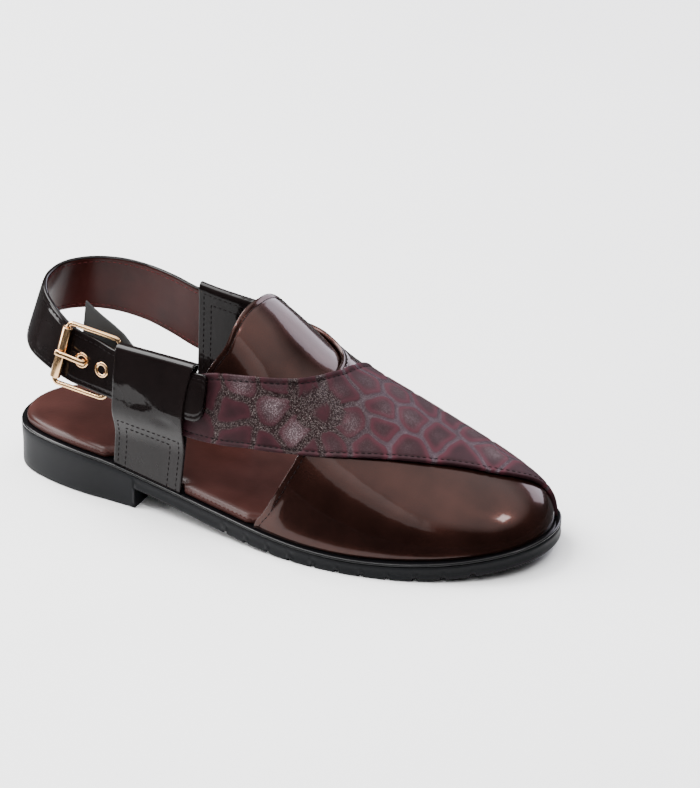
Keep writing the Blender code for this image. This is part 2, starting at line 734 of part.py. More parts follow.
def end_faces(wide, narrow):
    """Faces that close a loop's cut end between outline and hollow."""
    half = (wide - 1) // 2
    middle = (narrow - 1) // 2
    faces = [[0, 1, wide - 2, wide - 1], [1, 2, wide - 3, wide - 2],
             [2, wide, wide + narrow - 1, wide - 3]]
    for j in range(middle):
        faces.append([2 + j, 3 + j, wide + j + 1, wide + j])
        faces.append([wide - 4 - j, wide - 3 - j, wide + narrow - 1 - j, wide + narrow - 2 - j])
    for j in range(2 + middle, half):
        faces.append([j, j + 1, wide + middle])
        faces.append([wide - 2 - j, wide - 1 - j, wide + middle])
    return faces


def strap_table():
    """Inside face of the heel strap as three lines, lower edge, middle and
    upper edge: free tip, outer loop, round the heel, inner loop."""
    rows = []
    for share, low, high in STRAP_IN_OUTER_LOOP:
        heights = np.array([low, (low + high) / 2, high]) * STRAP_TOP
        rows.append(flank(share * LENGTH, heights, False, over_band_face() + CLEARANCE + FACET_ROOM))
    for row in STRAP_RUN:
        lower = np.array([row[0] * LENGTH, row[1] * BALL_WIDTH, row[2] * STRAP_TOP])
        upper = np.array([row[3] * LENGTH, row[4] * BALL_WIDTH, row[5] * STRAP_TOP])
        rows.append(np.array([lower, (lower + upper) / 2, upper]))
    for share, low, high in STRAP_IN_INNER_LOOP:
        heights = np.array([low, (low + high) / 2, high]) * STRAP_TOP
        rows.append(flank(share * LENGTH, heights, True, 0.0))
    rows = np.array(rows)
    reach = np.r_[0, np.cumsum(np.linalg.norm(np.diff(rows[:, 1], axis=0), axis=1))]
    return np.column_stack([reach, rows.reshape(len(rows), 9)])


def strap_lines(span):
    """The strap's three lines at distances from its free tip."""
    table = strap_table()
    lines = np.column_stack([curve(table, span, 1 + k) for k in range(9)])
    return lines.reshape(len(span), 3, 3)


def over_band_face():
    """Outer face of the printed band, from the foot's surface."""
    return UNDER_BAND - OVER_BAND_SINK + OVER_BAND


def strap_frames(span):
    """Middle, direction along, direction up and outward normal."""
    span = np.asarray(span, float)
    step = 0.5 * MM
    lines = strap_lines(span)
    along = strap_lines(span + step)[:, 1] - strap_lines(span - step)[:, 1]
    along /= np.linalg.norm(along, axis=1, keepdims=True)
    up = lines[:, 2] - lines[:, 0]
    up /= np.linalg.norm(up, axis=1, keepdims=True)
    out = np.cross(up, along)
    out /= np.linalg.norm(out, axis=1, keepdims=True)
    return lines[:, 1], along, up, out


def strap_length():
    """Length of the strap along its middle."""
    return strap_table()[-1, 0]


def span_at(x):
    """Distance from the free tip to a place on the outer side."""
    spans = np.linspace(0, strap_length() * 0.35, 120)
    return float(np.interp(-x, -strap_lines(spans)[:, 1, 0], spans))


def make_strap(leather, spots):
    """Heel strap with a rounded free tip and punched holes."""
    tip = np.array([share * TIP_ROUND for share, _ in TIP_SHAPE])
    tip_width = np.array([width for _, width in TIP_SHAPE])
    rest = np.linspace(tip[-1], strap_length(), 46)[1:]
    spans = np.r_[tip, rest]
    shape = np.r_[tip_width, np.ones(len(rest))][:, None]
    lines = strap_lines(spans)
    place = 0.5 + np.linspace(-0.5, 0.5, 4)[None] * shape
    low = (2 * place - 1) * (place - 1)
    high = (2 * place - 1) * place
    weights = np.stack([low, 1 - low - high, high], axis=-1)
    inside = np.einsum("ijk,ikc->ijc", weights, lines)
    out = np.cross(np.gradient(inside, axis=1), np.gradient(inside, axis=0))
    out /= np.linalg.norm(out, axis=-1, keepdims=True)
    strap = sheet("heel_strap", inside, inside + out * STRAP, leather)
    for number, spot in enumerate(spots):
        point, _, _, normal = strap_frames([spot])
        punch = [(0.0, -STRAP), (HOLE_RADIUS, -STRAP), (HOLE_RADIUS, 2 * STRAP), (0.0, 2 * STRAP)]
        cutter = turned_piece(f"strap_hole_{number}", point[0], normal[0], punch, 16, leather)
        boolean(strap, cutter, "DIFFERENCE")
    return strap


def turned_piece(name, point, axis, profile, sides, material, closed=False):
    """A profile of radius and height turned round an axis."""
    axis = Vector(axis).normalized()
    side = axis.orthogonal().normalized()
    other = axis.cross(side)
    angle = np.arange(sides) * 2 * np.pi / sides
    ring = np.cos(angle)[:, None] * np.array(side) + np.sin(angle)[:, None] * np.array(other)
    rings = [point + ring * max(radius, 1e-9) + np.array(axis) * height for radius, height in profile]
    if closed:
        return ring_solid(name, np.array(rings), material, closed=True)
    return ring_solid(name, np.array(rings[1:-1]), material)


def make_eyelet(name, spot, brass):
    """Flanged metal ring set in a strap hole."""
    point, _, _, normal = strap_frames([spot])
    outer = HOLE_RADIUS - CLEARANCE
    lift = STRAP + CLEARANCE
    profile = [(EYELET_BORE, 0.0), (outer, 0.0), (outer, lift), (EYELET_FLANGE, lift),
               (EYELET_FLANGE - EYELET_SHEET / 2, lift + EYELET_SHEET), (EYELET_BORE, lift + EYELET_SHEET)]
    return turned_piece(name, point[0], normal[0], profile, 20, brass, closed=True)


def buckle_places(roller_spot):
    """Roller's and hinge bar's centres with the buckle's own directions."""
    ends, _, ups, outs = strap_frames([roller_spot, roller_spot - BUCKLE_SPAN])
    roller = ends[0] + outs[0] * (STRAP + CLEARANCE + 2 * FACET_ROOM + ROLLER_RADIUS)
    hinge = ends[1] - outs[1] * BAR_DEPTH
    up = ups.mean(axis=0)
    forward = hinge - roller
    up -= forward * np.dot(up, forward) / np.dot(forward, forward)
    up /= np.linalg.norm(up)
    forward /= np.linalg.norm(forward)
    return roller, hinge, forward, up, np.cross(up, -forward)


def make_buckle_frame(places, brass):
    """Round wire bent to a rectangle with rounded corners."""
    roller, hinge, forward, up, _ = places
    half = BUCKLE_HEIGHT / 2
    span = np.linalg.norm(hinge - roller)
    corners = [(0.0, -half, REAR_CORNER, 1.5), (0.0, half, REAR_CORNER, 1.0),
               (span, half, FRONT_CORNER, 0.5), (span, -half, FRONT_CORNER, 0.0)]
    path = []
    for x, y, radius, first in corners:
        middle_x = x - np.sign(x - span / 2) * radius
        middle_y = y - np.sign(y) * radius
        for angle in np.linspace(first, first - 0.5, 5) * np.pi:
            path.append(roller + forward * (middle_x + radius * np.cos(angle))
                        + up * (middle_y + radius * np.sin(angle)))
    return tube("buckle_frame", path, WIRE, 8, brass, closed=True)


def make_roller(places, brass):
    """Loose sleeve on the frame's rear bar."""
    roller, _, _, up, _ = places
    half = BUCKLE_HEIGHT / 2 - REAR_CORNER - CLEARANCE
    bore = WIRE + CLEARANCE
    profile = [(bore, -half), (ROLLER_RADIUS, -half), (ROLLER_RADIUS, half), (bore, half)]
    return turned_piece("buckle_roller", roller, up, profile, 16, brass, closed=True)


def make_prong(places, spot, brass):
    """Tongue of the buckle: hooked on the bar under the strap, up through
    the first eyelet and down on the roller."""
    roller, hinge, forward, up, out = places
    hole, along, _, normal = strap_frames([spot])
    hole = hole[0]
    normal = normal[0]
    back = -along[0]
    outside = STRAP + CLEARANCE + EYELET_SHEET
    thick = PRONG_RADIUS
    reach = WIRE + CLEARANCE + thick
    hook = [hinge + reach * (forward * np.cos(a) + out * np.sin(a))
            for a in np.linspace(-0.3 * np.pi, -0.5 * np.pi, 3)]
    low = hole - normal * 1.6 * thick
    path = hook + [hinge - out * reach - forward * 5 * thick, low - back * 2.75 * thick,
                   low - back * 1.1 * thick + normal * 0.4 * thick,
                   hole + normal * (STRAP / 2),
                   hole + back * 1.1 * thick + normal * (outside + 0.5 * thick),
                   hole + back * 3.25 * thick + normal * (outside + 1.75 * thick)]
    rest = roller + out * (ROLLER_RADIUS + CLEARANCE + thick)
    path += [rest + forward * 2.75 * thick, rest, rest - forward * 3 * thick - out * thick]
    radius = np.full(len(path), thick)
    radius[-1] *= 0.7
    return tube("buckle_prong", path, radius, 8, brass)


def make_guard(leather):
    """Woven flap behind the buckle, sewn inside the outer loop."""
    inside = []
    outside = []
    for rear, bottom, front, top, room in GUARD_ROWS:
        low = np.array([rear * LENGTH, bottom * STRAP_TOP])
        high = np.array([front * LENGTH, top * STRAP_TOP])
        spots = [low + (high - low) * level for level in np.linspace(0, 1, 4)]
        face = outer_loop_layers()[0] - room * GUARD_ROOM
        outside.append([flank(x, z, False, face) for x, z in spots])
        inside.append([flank(x, z, False, face - GUARD) for x, z in spots])
    return sheet("buckle_guard", np.array(inside), np.array(outside), leather)


def centre_origin(things):
    """Move the shoe so that its box stands centred on the origin."""
    bpy.context.view_layer.update()
    graph = bpy.context.evaluated_depsgraph_get()
    low = np.full(3, np.inf)
    high = np.full(3, -np.inf)
    for thing in things:
        mesh = thing.evaluated_get(graph).to_mesh()
        points = np.array([vertex.co for vertex in mesh.vertices])
        low = np.minimum(low, points.min(axis=0))
        high = np.maximum(high, points.max(axis=0))
    move = Vector((-(low[0] + high[0]) / 2, -(low[1] + high[1]) / 2, -low[2]))
    for thing in bpy.data.objects:
        thing.location = thing.location + move


def main():
    """Build every piece of the shoe."""
    for thing in list(bpy.data.objects):
        bpy.data.objects.remove(thing, do_unlink=True)
    rubber = material("sole_rubber", (0.035, 0.037, 0.040), 0.55)
    rim_rubber = material("welt_rubber", (0.010, 0.010, 0.011), 0.25)
    lining = material("insole_leather", (0.120, 0.028, 0.016), 0.30, coat=0.3)
    patent = material("patent_leather", (0.060, 0.028, 0.020), 0.18, coat=0.8)
    black_patent = material("black_patent", (0.014, 0.009, 0.009), 0.12, coat=0.9)
    printed = material("printed_leather", (0.085, 0.022, 0.028), 0.50)
    webbing = material("webbing", (0.012, 0.012, 0.013), 0.80)
    brass = material("gilt_metal", (0.80, 0.56, 0.30), 0.22, metallic=1.0)

    roller_spot = span_at(OUTER_LOOP[2, 1] * LENGTH - ROLLER_TO_LOOP)
    first_hole = roller_spot - FIRST_HOLE
    holes = [first_hole, first_hole - HOLE_PITCH]
    places = buckle_places(roller_spot)
    things = [
        make_outsole(rubber),
        make_welt(rim_rubber),
        make_insole(lining),
        make_upper(printed),
        make_tongue(patent),
        make_loop("outer_loop", False, OUTER_LOOP, OUTER_LOOP_TOP, OUTER_LOOP_JOIN,
                  outer_loop_layers(), black_patent),
        make_loop("inner_loop", True, INNER_LOOP, INNER_LOOP_TOP, INNER_LOOP_JOIN,
                  inner_loop_layers(), black_patent),
        make_strap(black_patent, holes),
        make_guard(webbing),
        make_buckle_frame(places, brass),
        make_roller(places, brass),
        make_prong(places, holes[0], brass),
    ]
    for number, spot in enumerate(holes):
        things.append(make_eyelet(f"eyelet_{number + 1}", spot, brass))
    centre_origin(things)


main()
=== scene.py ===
"""Looks of a right peshawari chappal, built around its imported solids.

Metres, +X to the toe, +Y to the inner side, +Z up. Shapes are worked out in a
frame that starts at the heel's back, and move to the model's own frame when a
mesh is made. Tables give places as shares of the named sizes.
"""

import bpy
import numpy as np
from bpy.props import FloatProperty, FloatVectorProperty, PointerProperty
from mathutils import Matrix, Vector


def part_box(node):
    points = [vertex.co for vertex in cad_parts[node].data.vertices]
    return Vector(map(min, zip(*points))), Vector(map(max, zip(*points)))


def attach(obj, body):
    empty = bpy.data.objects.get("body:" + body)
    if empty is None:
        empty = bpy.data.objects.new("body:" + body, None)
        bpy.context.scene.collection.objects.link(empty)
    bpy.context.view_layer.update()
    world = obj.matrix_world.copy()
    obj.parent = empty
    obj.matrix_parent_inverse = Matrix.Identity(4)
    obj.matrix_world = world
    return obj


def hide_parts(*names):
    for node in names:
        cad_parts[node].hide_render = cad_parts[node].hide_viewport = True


bl_info = {
    "name": "Peshawari chappal",
    "version": (1, 0, 0),
    "blender": (4, 5, 0),
    "location": "View3D > Sidebar > Chappal",
    "description": "Builds the leather, stitches, buckle and sole of a chappal",
    "category": "Add Mesh",
}

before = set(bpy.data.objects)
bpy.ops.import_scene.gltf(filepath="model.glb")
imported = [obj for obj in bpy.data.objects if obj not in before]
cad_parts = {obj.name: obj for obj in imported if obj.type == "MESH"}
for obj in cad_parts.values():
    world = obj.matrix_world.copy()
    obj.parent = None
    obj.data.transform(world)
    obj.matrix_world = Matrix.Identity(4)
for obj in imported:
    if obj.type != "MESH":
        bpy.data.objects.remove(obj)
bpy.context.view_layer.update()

MM = 0.001

# Sizes shared with the solids
LENGTH = 298 * MM            # outsole, heel's back to toe
BALL_WIDTH = 102 * MM        # outsole across the ball
HEEL_HEIGHT = 24.5 * MM      # ground to the rim's top at the heel's back
FOREFOOT_SOLE = 8.8 * MM     # ground to the rim's top under the ball
ARCH_HEIGHT = 11 * MM        # ground to the sole at the heel's front
TOE_SPRING = 6.9 * MM        # lift of the toe's tip
INSTEP_HEIGHT = 72 * MM      # foot's ridge over the sole at the crossing
STRAP_TOP = 104 * MM         # top of the strap behind the heel
CLEARANCE = 0.3 * MM         # between pieces that touch
FACET_ROOM = 0.2 * MM        # more where two curved faces lie together
RIM = 3.0 * MM               # rim seen outside the outer band
WELT_THICKNESS = 1.6 * MM
WELT_WIDTH = 9 * MM
INSOLE_THICKNESS = 4.2 * MM
HEEL_FRONT = 0.279           # share of the length
GROOVE_START = 0.47          # share of the length
GROOVE_WIDTH = 2.4 * MM
GROOVE_DEPTH = 1.3 * MM
GROOVE_PITCH = 13 * MM
ROLLER_TO_LOOP = 29.4 * MM   # roller's middle to the outer loop's rear edge
FIRST_HOLE = 10.5 * MM       # in front of the roller's middle
UNDER_BAND = 2.1 * MM        # patent band, lies on the foot
OVER_BAND = 2.1 * MM         # printed band
OVER_BAND_SINK = 1.0 * MM    # how far the two bands are joined
EDGE_LIFT = 1.8 * MM         # printed band's free edge stands off by this
TONGUE_WALL = 1.6 * MM
LEAF = 1.1 * MM              # each leaf of a folded side loop
JOIN_EASE = 3.9 * MM         # leaves part over three times this height
FOLD_ROUND = 3.2 * MM
STRAP = 2.2 * MM
GUARD = 1.2 * MM
GUARD_ROOM = 2.3 * MM        # guard behind the hinge bar
WIRE = 1.15 * MM             # frame's radius
ROLLER_RADIUS = 2.7 * MM
BUCKLE_SPAN = 26.5 * MM      # roller to hinge bar
BAR_DEPTH = 2.9 * MM         # hinge bar's middle behind the strap
BUCKLE_HEIGHT = 33 * MM      # between the arms' centre lines
REAR_CORNER = 2.4 * MM
FRONT_CORNER = 3.5 * MM
PRONG_RADIUS = 0.8 * MM
HOLE_RADIUS = 3.2 * MM       # through the strap
EYELET_BORE = 2.3 * MM
EYELET_FLANGE = 4.1 * MM
EYELET_SHEET = 0.5 * MM
HOLE_PITCH = 12.5 * MM

# Finer work that the solids don't have
STRAP_SEAM = 2.2 * MM        # strap's stitches in from its edges
STRAP_CROWN = 0.25 * MM      # strap's face over its edges
STRAP_DRAW = 0.22 * MM       # how far its stitches pull it in
HEM_HEIGHT = 0.36 * MM       # turned edges over the leather's face
LOW_HEM_HEIGHT = 0.22 * MM
PRINT_HEM_HEIGHT = 0.30 * MM
TONGUE_HEM_HEIGHT = 0.28 * MM
EDGE_LIFT_REACH = 9 * MM     # printed band's lift fades over this
SOLE_ROUND = 1.1 * MM        # sole's rounded lower edge
SOLE_HOLLOW = 0.25 * MM      # how far its side is drawn in
SHADOW_LINE = 0.5 * MM       # line under the rim
RIM_ROUND = 0.9 * MM
BOARD_ROLL = 5 * MM          # footbed's edge rolls down over this
ROLLER_LIP = 0.35 * MM
WIRE_ROUND = 1.12            # drawn wire, share of the solids' one
PRONG_FLAT = 1.75            # prong's width, share of its height

# Print: waviness of its channels, their soft edge, place and width of a
# cell's paler edge, reach of the painted sheen in a cell's middle, and roundness of the corners
PRINT_WAVES = 0.45 * MM
PRINT_EASE = 0.8 * MM
HALO_IN = 1.2 * MM
HALO_WIDTH = 1.6 * MM
SHEEN_REACH = 5.2 * MM
CORNER_ROUND = 0.8 * MM

# Rim of a sheet: how far it swells (share of half the leather) and in how
# many rings it turns; and how deep a stitch's ends and how high its middle
# lie (shares of the thread's radius)
SHEET_SWELL = 0.55
SHEET_TURNS = 4
STITCH_SINK = 0.35
STITCH_RISE = 0.75

# Counts of points, the first along and the second across a piece
OUTLINE_POINTS = 221
BOARD_POINTS = (361, 61)
UNDER_BAND_POINTS = (260, 110)
OVER_BAND_POINTS = (300, 130)
TONGUE_POINTS = (150, 70)
LEAF_POINTS = 60
FOLD_POINTS = 24
LOOP_ROWS = 170
LOOP_COLUMNS = 60
FRAME_POINTS = 60
TIP_ROWS = 24
STRAP_ROWS = 397
STRAP_COLUMNS = 40
GUARD_POINTS = (60, 50)
TURNED_SIDES = 40

# Outline of the sole: along, centre and half width (shares of ball width)
OUTLINE = np.array([
    (0.00, 0.055, 0.000),
    (0.03, 0.066, 0.225),
    (0.08, 0.063, 0.305),
    (0.16, 0.046, 0.354),
    (0.25, 0.012, 0.352),
    (0.35, -0.037, 0.346),
    (0.45, -0.074, 0.372),
    (0.55, -0.082, 0.428),
    (0.63, -0.064, 0.476),
    (0.70, -0.041, 0.500),
    (0.77, -0.019, 0.493),
    (0.85, -0.001, 0.440),
    (0.92, 0.016, 0.351),
    (0.97, 0.036, 0.242),
    (1.00, 0.045, 0.000),
])

# Rim's top: along, share of the heel's rise, share of the toe's spring
RIM_LINE = np.array([
    (0.00, 1.00, 0.00),
    (0.20, 0.90, 0.00),
    (0.35, 0.51, 0.00),
    (0.50, 0.21, 0.00),
    (0.62, 0.02, 0.02),
    (0.75, 0.00, 0.03),
    (0.87, 0.00, 0.33),
    (1.00, 0.00, 1.04),
])

# Sole's lower edge: in from its side and up from the ground, in mm
SOLE_EDGE_ROUND = ((1.1, 0.0), (0.62, 0.10), (0.28, 0.32), (0.08, 0.66), (0.0, 1.1))

# Underside in front of the heel: along, share of the arch, of the spring
UNDERSIDE = np.array([
    (HEEL_FRONT, 1.00, 0.00),
    (0.40, 0.53, 0.00),
    (0.52, 0.16, 0.00),
    (0.60, 0.00, 0.00),
    (0.76, 0.00, 0.00),
    (0.88, 0.00, 0.30),
    (1.00, 0.00, 1.00),
])

# Footbed's outer and inner edge, in from the sole's edge: along, and share
# of the welt's width
INSOLE_OUTER_EDGE = np.array([(0.0, 0.36), (0.212, 0.38), (0.224, 0.80), (0.370, 0.80), (0.377, 0.38),
                              (0.510, 0.38), (0.524, 0.71), (0.9, 0.71), (1.0, 0.82)])
INSOLE_INNER_EDGE = np.array([(0.0, 0.36), (0.274, 0.36), (0.287, 0.87), (0.416, 0.87), (0.424, 0.40),
                              (0.520, 0.40), (0.533, 0.71), (0.9, 0.71), (1.0, 0.82)])

# Foot's form: along, ridge height (share of the instep), roundness of the
# section, and the ridge's shift to the inner side (share of ball width)
FOOT = np.array([
    (0.00, 1.71, 3.0, 0.03),
    (0.20, 1.69, 3.0, 0.03),
    (0.30, 1.62, 3.0, 0.06),
    (0.40, 1.50, 3.0, 0.09),
    (0.50, 1.29, 2.8, 0.11),
    (0.60, 1.00, 2.5, 0.12),
    (0.70, 0.785, 2.3, 0.12),
    (0.80, 0.563, 2.3, 0.12),
    (0.88, 0.410, 2.3, 0.105),
    (0.94, 0.292, 2.2, 0.08),
    (0.98, 0.174, 2.2, 0.04),
    (1.00, 0.000, 2.2, 0.00),
])

# Edges of the two bands: along the foot, and around it from the outer
# feather line (0) over the ridge (0.5) to the inner one (1)
OVER_FREE_EDGE = [
    (0.285, 0.060), (0.335, 0.056), (0.382, 0.055), (0.449, 0.072),
    (0.515, 0.109), (0.608, 0.182), (0.701, 0.257), (0.789, 0.335),
    (0.866, 0.408), (0.917, 0.460), (0.952, 0.535), (0.973, 0.640),
    (0.985, 0.790), (0.990, 1.000),
]
OVER_THROAT_EDGE = [
    (0.285, 0.130), (0.340, 0.142), (0.400, 0.160), (0.430, 0.184),
    (0.481, 0.228), (0.528, 0.281), (0.569, 0.349), (0.597, 0.422),
    (0.617, 0.500), (0.626, 0.600), (0.624, 0.690), (0.608, 0.780),
    (0.585, 0.860), (0.560, 0.935), (0.540, 1.000),
]
UNDER_THROAT_EDGE = [
    (0.362, 0.812), (0.400, 0.800), (0.430, 0.776), (0.474, 0.738), (0.512, 0.700),
    (0.546, 0.650), (0.582, 0.590), (0.604, 0.520), (0.612, 0.440),
    (0.613, 0.350), (0.610, 0.250), (0.603, 0.170), (0.587, 0.108),
    (0.568, 0.054), (0.548, 0.017), (0.530, 0.000),
]
UNDER_LOW_EDGE = [
    (0.362, 0.946), (0.400, 0.943), (0.450, 0.930), (0.500, 0.907),
    (0.583, 0.850), (0.660, 0.740), (0.750, 0.640), (0.830, 0.610),
    (0.900, 0.640), (0.945, 0.720), (0.970, 0.840), (0.976, 0.965),
]

# Tongue: rear edge over the instep, and its hidden root in front
TONGUE_REAR_EDGE = [
    (0.410, 0.160), (0.424, 0.200), (0.440, 0.250), (0.449, 0.330),
    (0.456, 0.420), (0.462, 0.500), (0.470, 0.570), (0.486, 0.640),
    (0.510, 0.700), (0.540, 0.730),
]
TONGUE_ROOT = [
    (0.452, 0.158), (0.500, 0.180), (0.550, 0.230), (0.600, 0.300),
    (0.640, 0.390), (0.655, 0.480), (0.655, 0.560), (0.645, 0.640),
    (0.620, 0.700), (0.590, 0.740),
]

# Side loops: height over the ground (share of the strap's top), rear and
# front edge (shares of length)
OUTER_LOOP = np.array([
    (0.00, 0.229, 0.366),
    (0.45, 0.243, 0.384),
    (0.70, 0.248, 0.391),
    (0.86, 0.252, 0.404),
])
INNER_LOOP = np.array([
    (0.00, 0.292, 0.412),
    (0.50, 0.296, 0.414),
    (0.97, 0.304, 0.420),
])
OUTER_LOOP_TOP = (0.862, 0.842)      # rear and front, shares of strap's top
INNER_LOOP_TOP = (0.972, 0.940)
OUTER_LOOP_JOIN = 0.43               # leaves are sewn together up to here
INNER_LOOP_JOIN = 0.35

# Dents in the outer loop: place (shares of length and strap's top), depth
# and reach along and up
OUTER_LOOP_DENTS = (
    ((0.345, 0.535), 0.7 * MM, (6 * MM, 2.6 * MM)),
    ((0.29, 0.60), 0.35 * MM, (14 * MM, 7 * MM)),
)

# Stitch lines of a loop: on its joined part from low to high (shares of the
# join) and from rear to front (shares of the width); and on the inner
# loop's side to the foot, down from the fold, and from rear to front
JOIN_FRAMES = ((-0.2, 1.08, 0.06, 0.93), (-0.2, 0.94, 0.17, 0.80))
FOLD_FRAMES = ((5 * MM, 0.09, 0.91), (10 * MM, 0.22, 0.78))

# Heel strap between the loops: share of length, side (share of ball width)
# and height (share of strap's top) of the lower edge, then of the upper one
STRAP_RUN = np.array([
    (0.208, -0.328, 0.598, 0.212, -0.285, 0.848),
    (0.158, -0.314, 0.622, 0.162, -0.264, 0.880),
    (0.112, -0.284, 0.660, 0.122, -0.216, 0.932),
    (0.070, -0.222, 0.697, 0.090, -0.145, 0.968),
    (0.044, -0.110, 0.720, 0.069, -0.050, 0.990),
    (0.034, 0.035, 0.724, 0.060, 0.060, 0.998),
    (0.041, 0.185, 0.720, 0.067, 0.175, 1.002),
    (0.069, 0.295, 0.711, 0.093, 0.270, 1.000),
    (0.118, 0.350, 0.702, 0.136, 0.326, 0.996),
    (0.180, 0.362, 0.678, 0.190, 0.340, 0.982),
    (0.238, 0.340, 0.640, 0.244, 0.322, 0.960),
])
STRAP_IN_OUTER_LOOP = [(0.428, 0.580, 0.796), (0.395, 0.574, 0.800),
                       (0.350, 0.570, 0.805), (0.300, 0.570, 0.811),
                       (0.250, 0.576, 0.821)]
STRAP_IN_INNER_LOOP = [(0.286, 0.606, 0.936), (0.346, 0.590, 0.905)]
TIP_ROUND = 6 * MM

# Colours of small pieces
LINING_THREAD = (0.10, 0.02, 0.02)
WEBBING = (0.012, 0.012, 0.014)

# Flap behind the buckle: share of length and of strap's top for its lower
# edge, then its upper one, and share of its room behind the hinge bar
GUARD_ROWS = [(0.160, 0.640, 0.170, 1.005, 1.0), (0.178, 0.625, 0.186, 0.980, 1.0),
              (0.198, 0.612, 0.204, 0.953, 1.0), (0.222, 0.600, 0.226, 0.922, 1.0),
              (0.246, 0.590, 0.248, 0.885, 1.0), (0.266, 0.585, 0.268, 0.846, 0.25),
              (0.292, 0.585, 0.294, 0.815, 0.25)]


def curve(table, x, column=1):
    """Smooth curve through a table's rows, flat where two rows are equal."""
    xs = table[:, 0]
    ys = table[:, column]
    x = np.asarray(x, float)
    step = np.diff(xs)
    rise = np.diff(ys) / step
    slope = np.empty_like(ys)
    slope[0] = rise[0]
    slope[-1] = rise[-1]
    slope[1:-1] = (rise[:-1] * step[1:] + rise[1:] * step[:-1]) / (step[1:] + step[:-1])
    flat = (rise[:-1] == 0) | (rise[1:] == 0)
    slope[1:-1][flat] = 0
    i = np.clip(np.searchsorted(xs, x, side="right") - 1, 0, len(xs) - 2)
    t = (x - xs[i]) / step[i]
    start = (2 * t ** 3 - 3 * t ** 2 + 1) * ys[i] + (t ** 3 - 2 * t ** 2 + t) * step[i] * slope[i]
    return start + (3 * t ** 2 - 2 * t ** 3) * ys[i + 1] + (t ** 3 - t ** 2) * step[i] * slope[i + 1]


def close_at_ends(count):
    """Shares from 0 to 1 that lie close together at both ends."""
    return (1 - np.cos(np.linspace(0, np.pi, count))) / 2


def reach_along(path):
    """Distance of each point of a path from its start."""
    return np.r_[0, np.cumsum(np.linalg.norm(np.diff(path, axis=0), axis=1))]


def turn(along):
    """Angle round the outline's ends, so that heel and toe come out round."""
    return np.arccos(np.clip(1 - 2 * np.asarray(along, float), -1, 1)) / np.pi


def turned(table):
    """The table with its places given as turns."""
    return np.column_stack([turn(table[:, 0]), table[:, 1:]])


def centre(along):
    """Middle of the sole across, at a share of its length."""
    return curve(turned(OUTLINE), turn(along), 1) * BALL_WIDTH


def half_width(along):
    """Half of the sole's width at a share of its length."""
    return np.maximum(curve(turned(OUTLINE), turn(along), 2), 0) * BALL_WIDTH


def rim_height(along):
    """Height of the rim's top over the ground."""
    heel = curve(RIM_LINE, along, 1) * (HEEL_HEIGHT - FOREFOOT_SOLE)
    return FOREFOOT_SOLE + heel + curve(RIM_LINE, along, 2) * TOE_SPRING


def rim_over(plan):
    """Rim's height over points of a plan."""
    return rim_height(np.clip(plan[..., 0] / LENGTH, 0, 1))


def underside_height(along):
    """Height of the sole's underside, flat under heel and ball."""
    along = np.asarray(along, float)
    front = np.maximum(along, HEEL_FRONT)
    arch = curve(UNDERSIDE, front, 1) * ARCH_HEIGHT
    spring = curve(UNDERSIDE, front, 2) * TOE_SPRING
    return np.where(along < HEEL_FRONT, 0.0, arch + spring)


def foot_inset():
    """From the sole's outline in to the foot's surface."""
    return RIM + CLEARANCE + UNDER_BAND


def foot_point(along, around):
    """The foot's surface: a rounded tunnel over the sole's outline."""
    along, around = np.broadcast_arrays(np.asarray(along, float), np.asarray(around, float))
    inset = foot_inset()
    x = inset + along * (LENGTH - 2 * inset)
    place = x / LENGTH
    width = half_width(along) * (BALL_WIDTH - 2 * inset) / BALL_WIDTH
    height = curve(turned(FOOT), turn(along), 1) * INSTEP_HEIGHT
    power = 2 / curve(FOOT, along, 2)
    shift = curve(FOOT, along, 3) * BALL_WIDTH
    angle = around * np.pi
    side = -np.sign(np.cos(angle)) * np.abs(np.cos(angle)) ** power
    up = np.abs(np.sin(angle)) ** power
    y = centre(place) + width * side + shift * up ** 2
    z = rim_height(place) + CLEARANCE + FACET_ROOM + height * up
    return np.stack([x, y, z], axis=-1)


def foot_normal(along, around):
    """Outward direction of the foot's surface, from its neighbours."""
    step = 2e-4
    along = np.clip(along, step, 1 - 2 * step)
    around = np.clip(around, step, 1 - step)
    ahead = foot_point(along + step, around) - foot_point(along - step, around)
    over = foot_point(along, around + step) - foot_point(along, around - step)
    normal = np.cross(ahead, over)
    return normal / np.linalg.norm(normal, axis=-1, keepdims=True)


def foot(along, around, offset=0.0):
    """A point on the foot's surface, moved out by an offset."""
    offset = np.asarray(offset, float)[..., None]
    return foot_point(along, around) + foot_normal(along, around) * offset


def around_at_height(along, height, inner):
    """How far around the foot a height over the ground lies."""
    inset = foot_inset()
    place = (inset + along * (LENGTH - 2 * inset)) / LENGTH
    ridge = curve(turned(FOOT), turn(along), 1) * INSTEP_HEIGHT
    up = np.clip((height - rim_height(place) - CLEARANCE - FACET_ROOM) / ridge, 0, 1)
    share = np.arcsin(up ** (curve(FOOT, along, 2) / 2)) / np.pi
    return 1 - share if inner else share


def flank(x, height, inner, offset):
    """The foot's side wall at a place along and a height, moved out."""
    inset = foot_inset()
    along = (np.asarray(x, float) - inset) / (LENGTH - 2 * inset)
    return foot(along, around_at_height(along, height, inner), offset)


def unfold(edge):
    """Edge points in a flat map where the toe isn't pinched to a point."""
    edge = np.asarray(edge, float)
    width = np.sqrt(np.clip(1 - (2 * edge[:, 0] - 1) ** 2, 0, None))
    width = np.where(edge[:, 0] < 0.5, 1, width)
    return np.column_stack([edge[:, 0], (edge[:, 1] - 0.5) * width])


def fold(flat):
    """Back from the flat map to shares along and around the foot."""
    along = np.clip(flat[..., 0], 0, 1)
    width = np.sqrt(np.clip(1 - (2 * along - 1) ** 2, 1e-9, None))
    width = np.where(along < 0.5, 1, width)
    return along, np.clip(flat[..., 1] / width + 0.5, 0, 1)


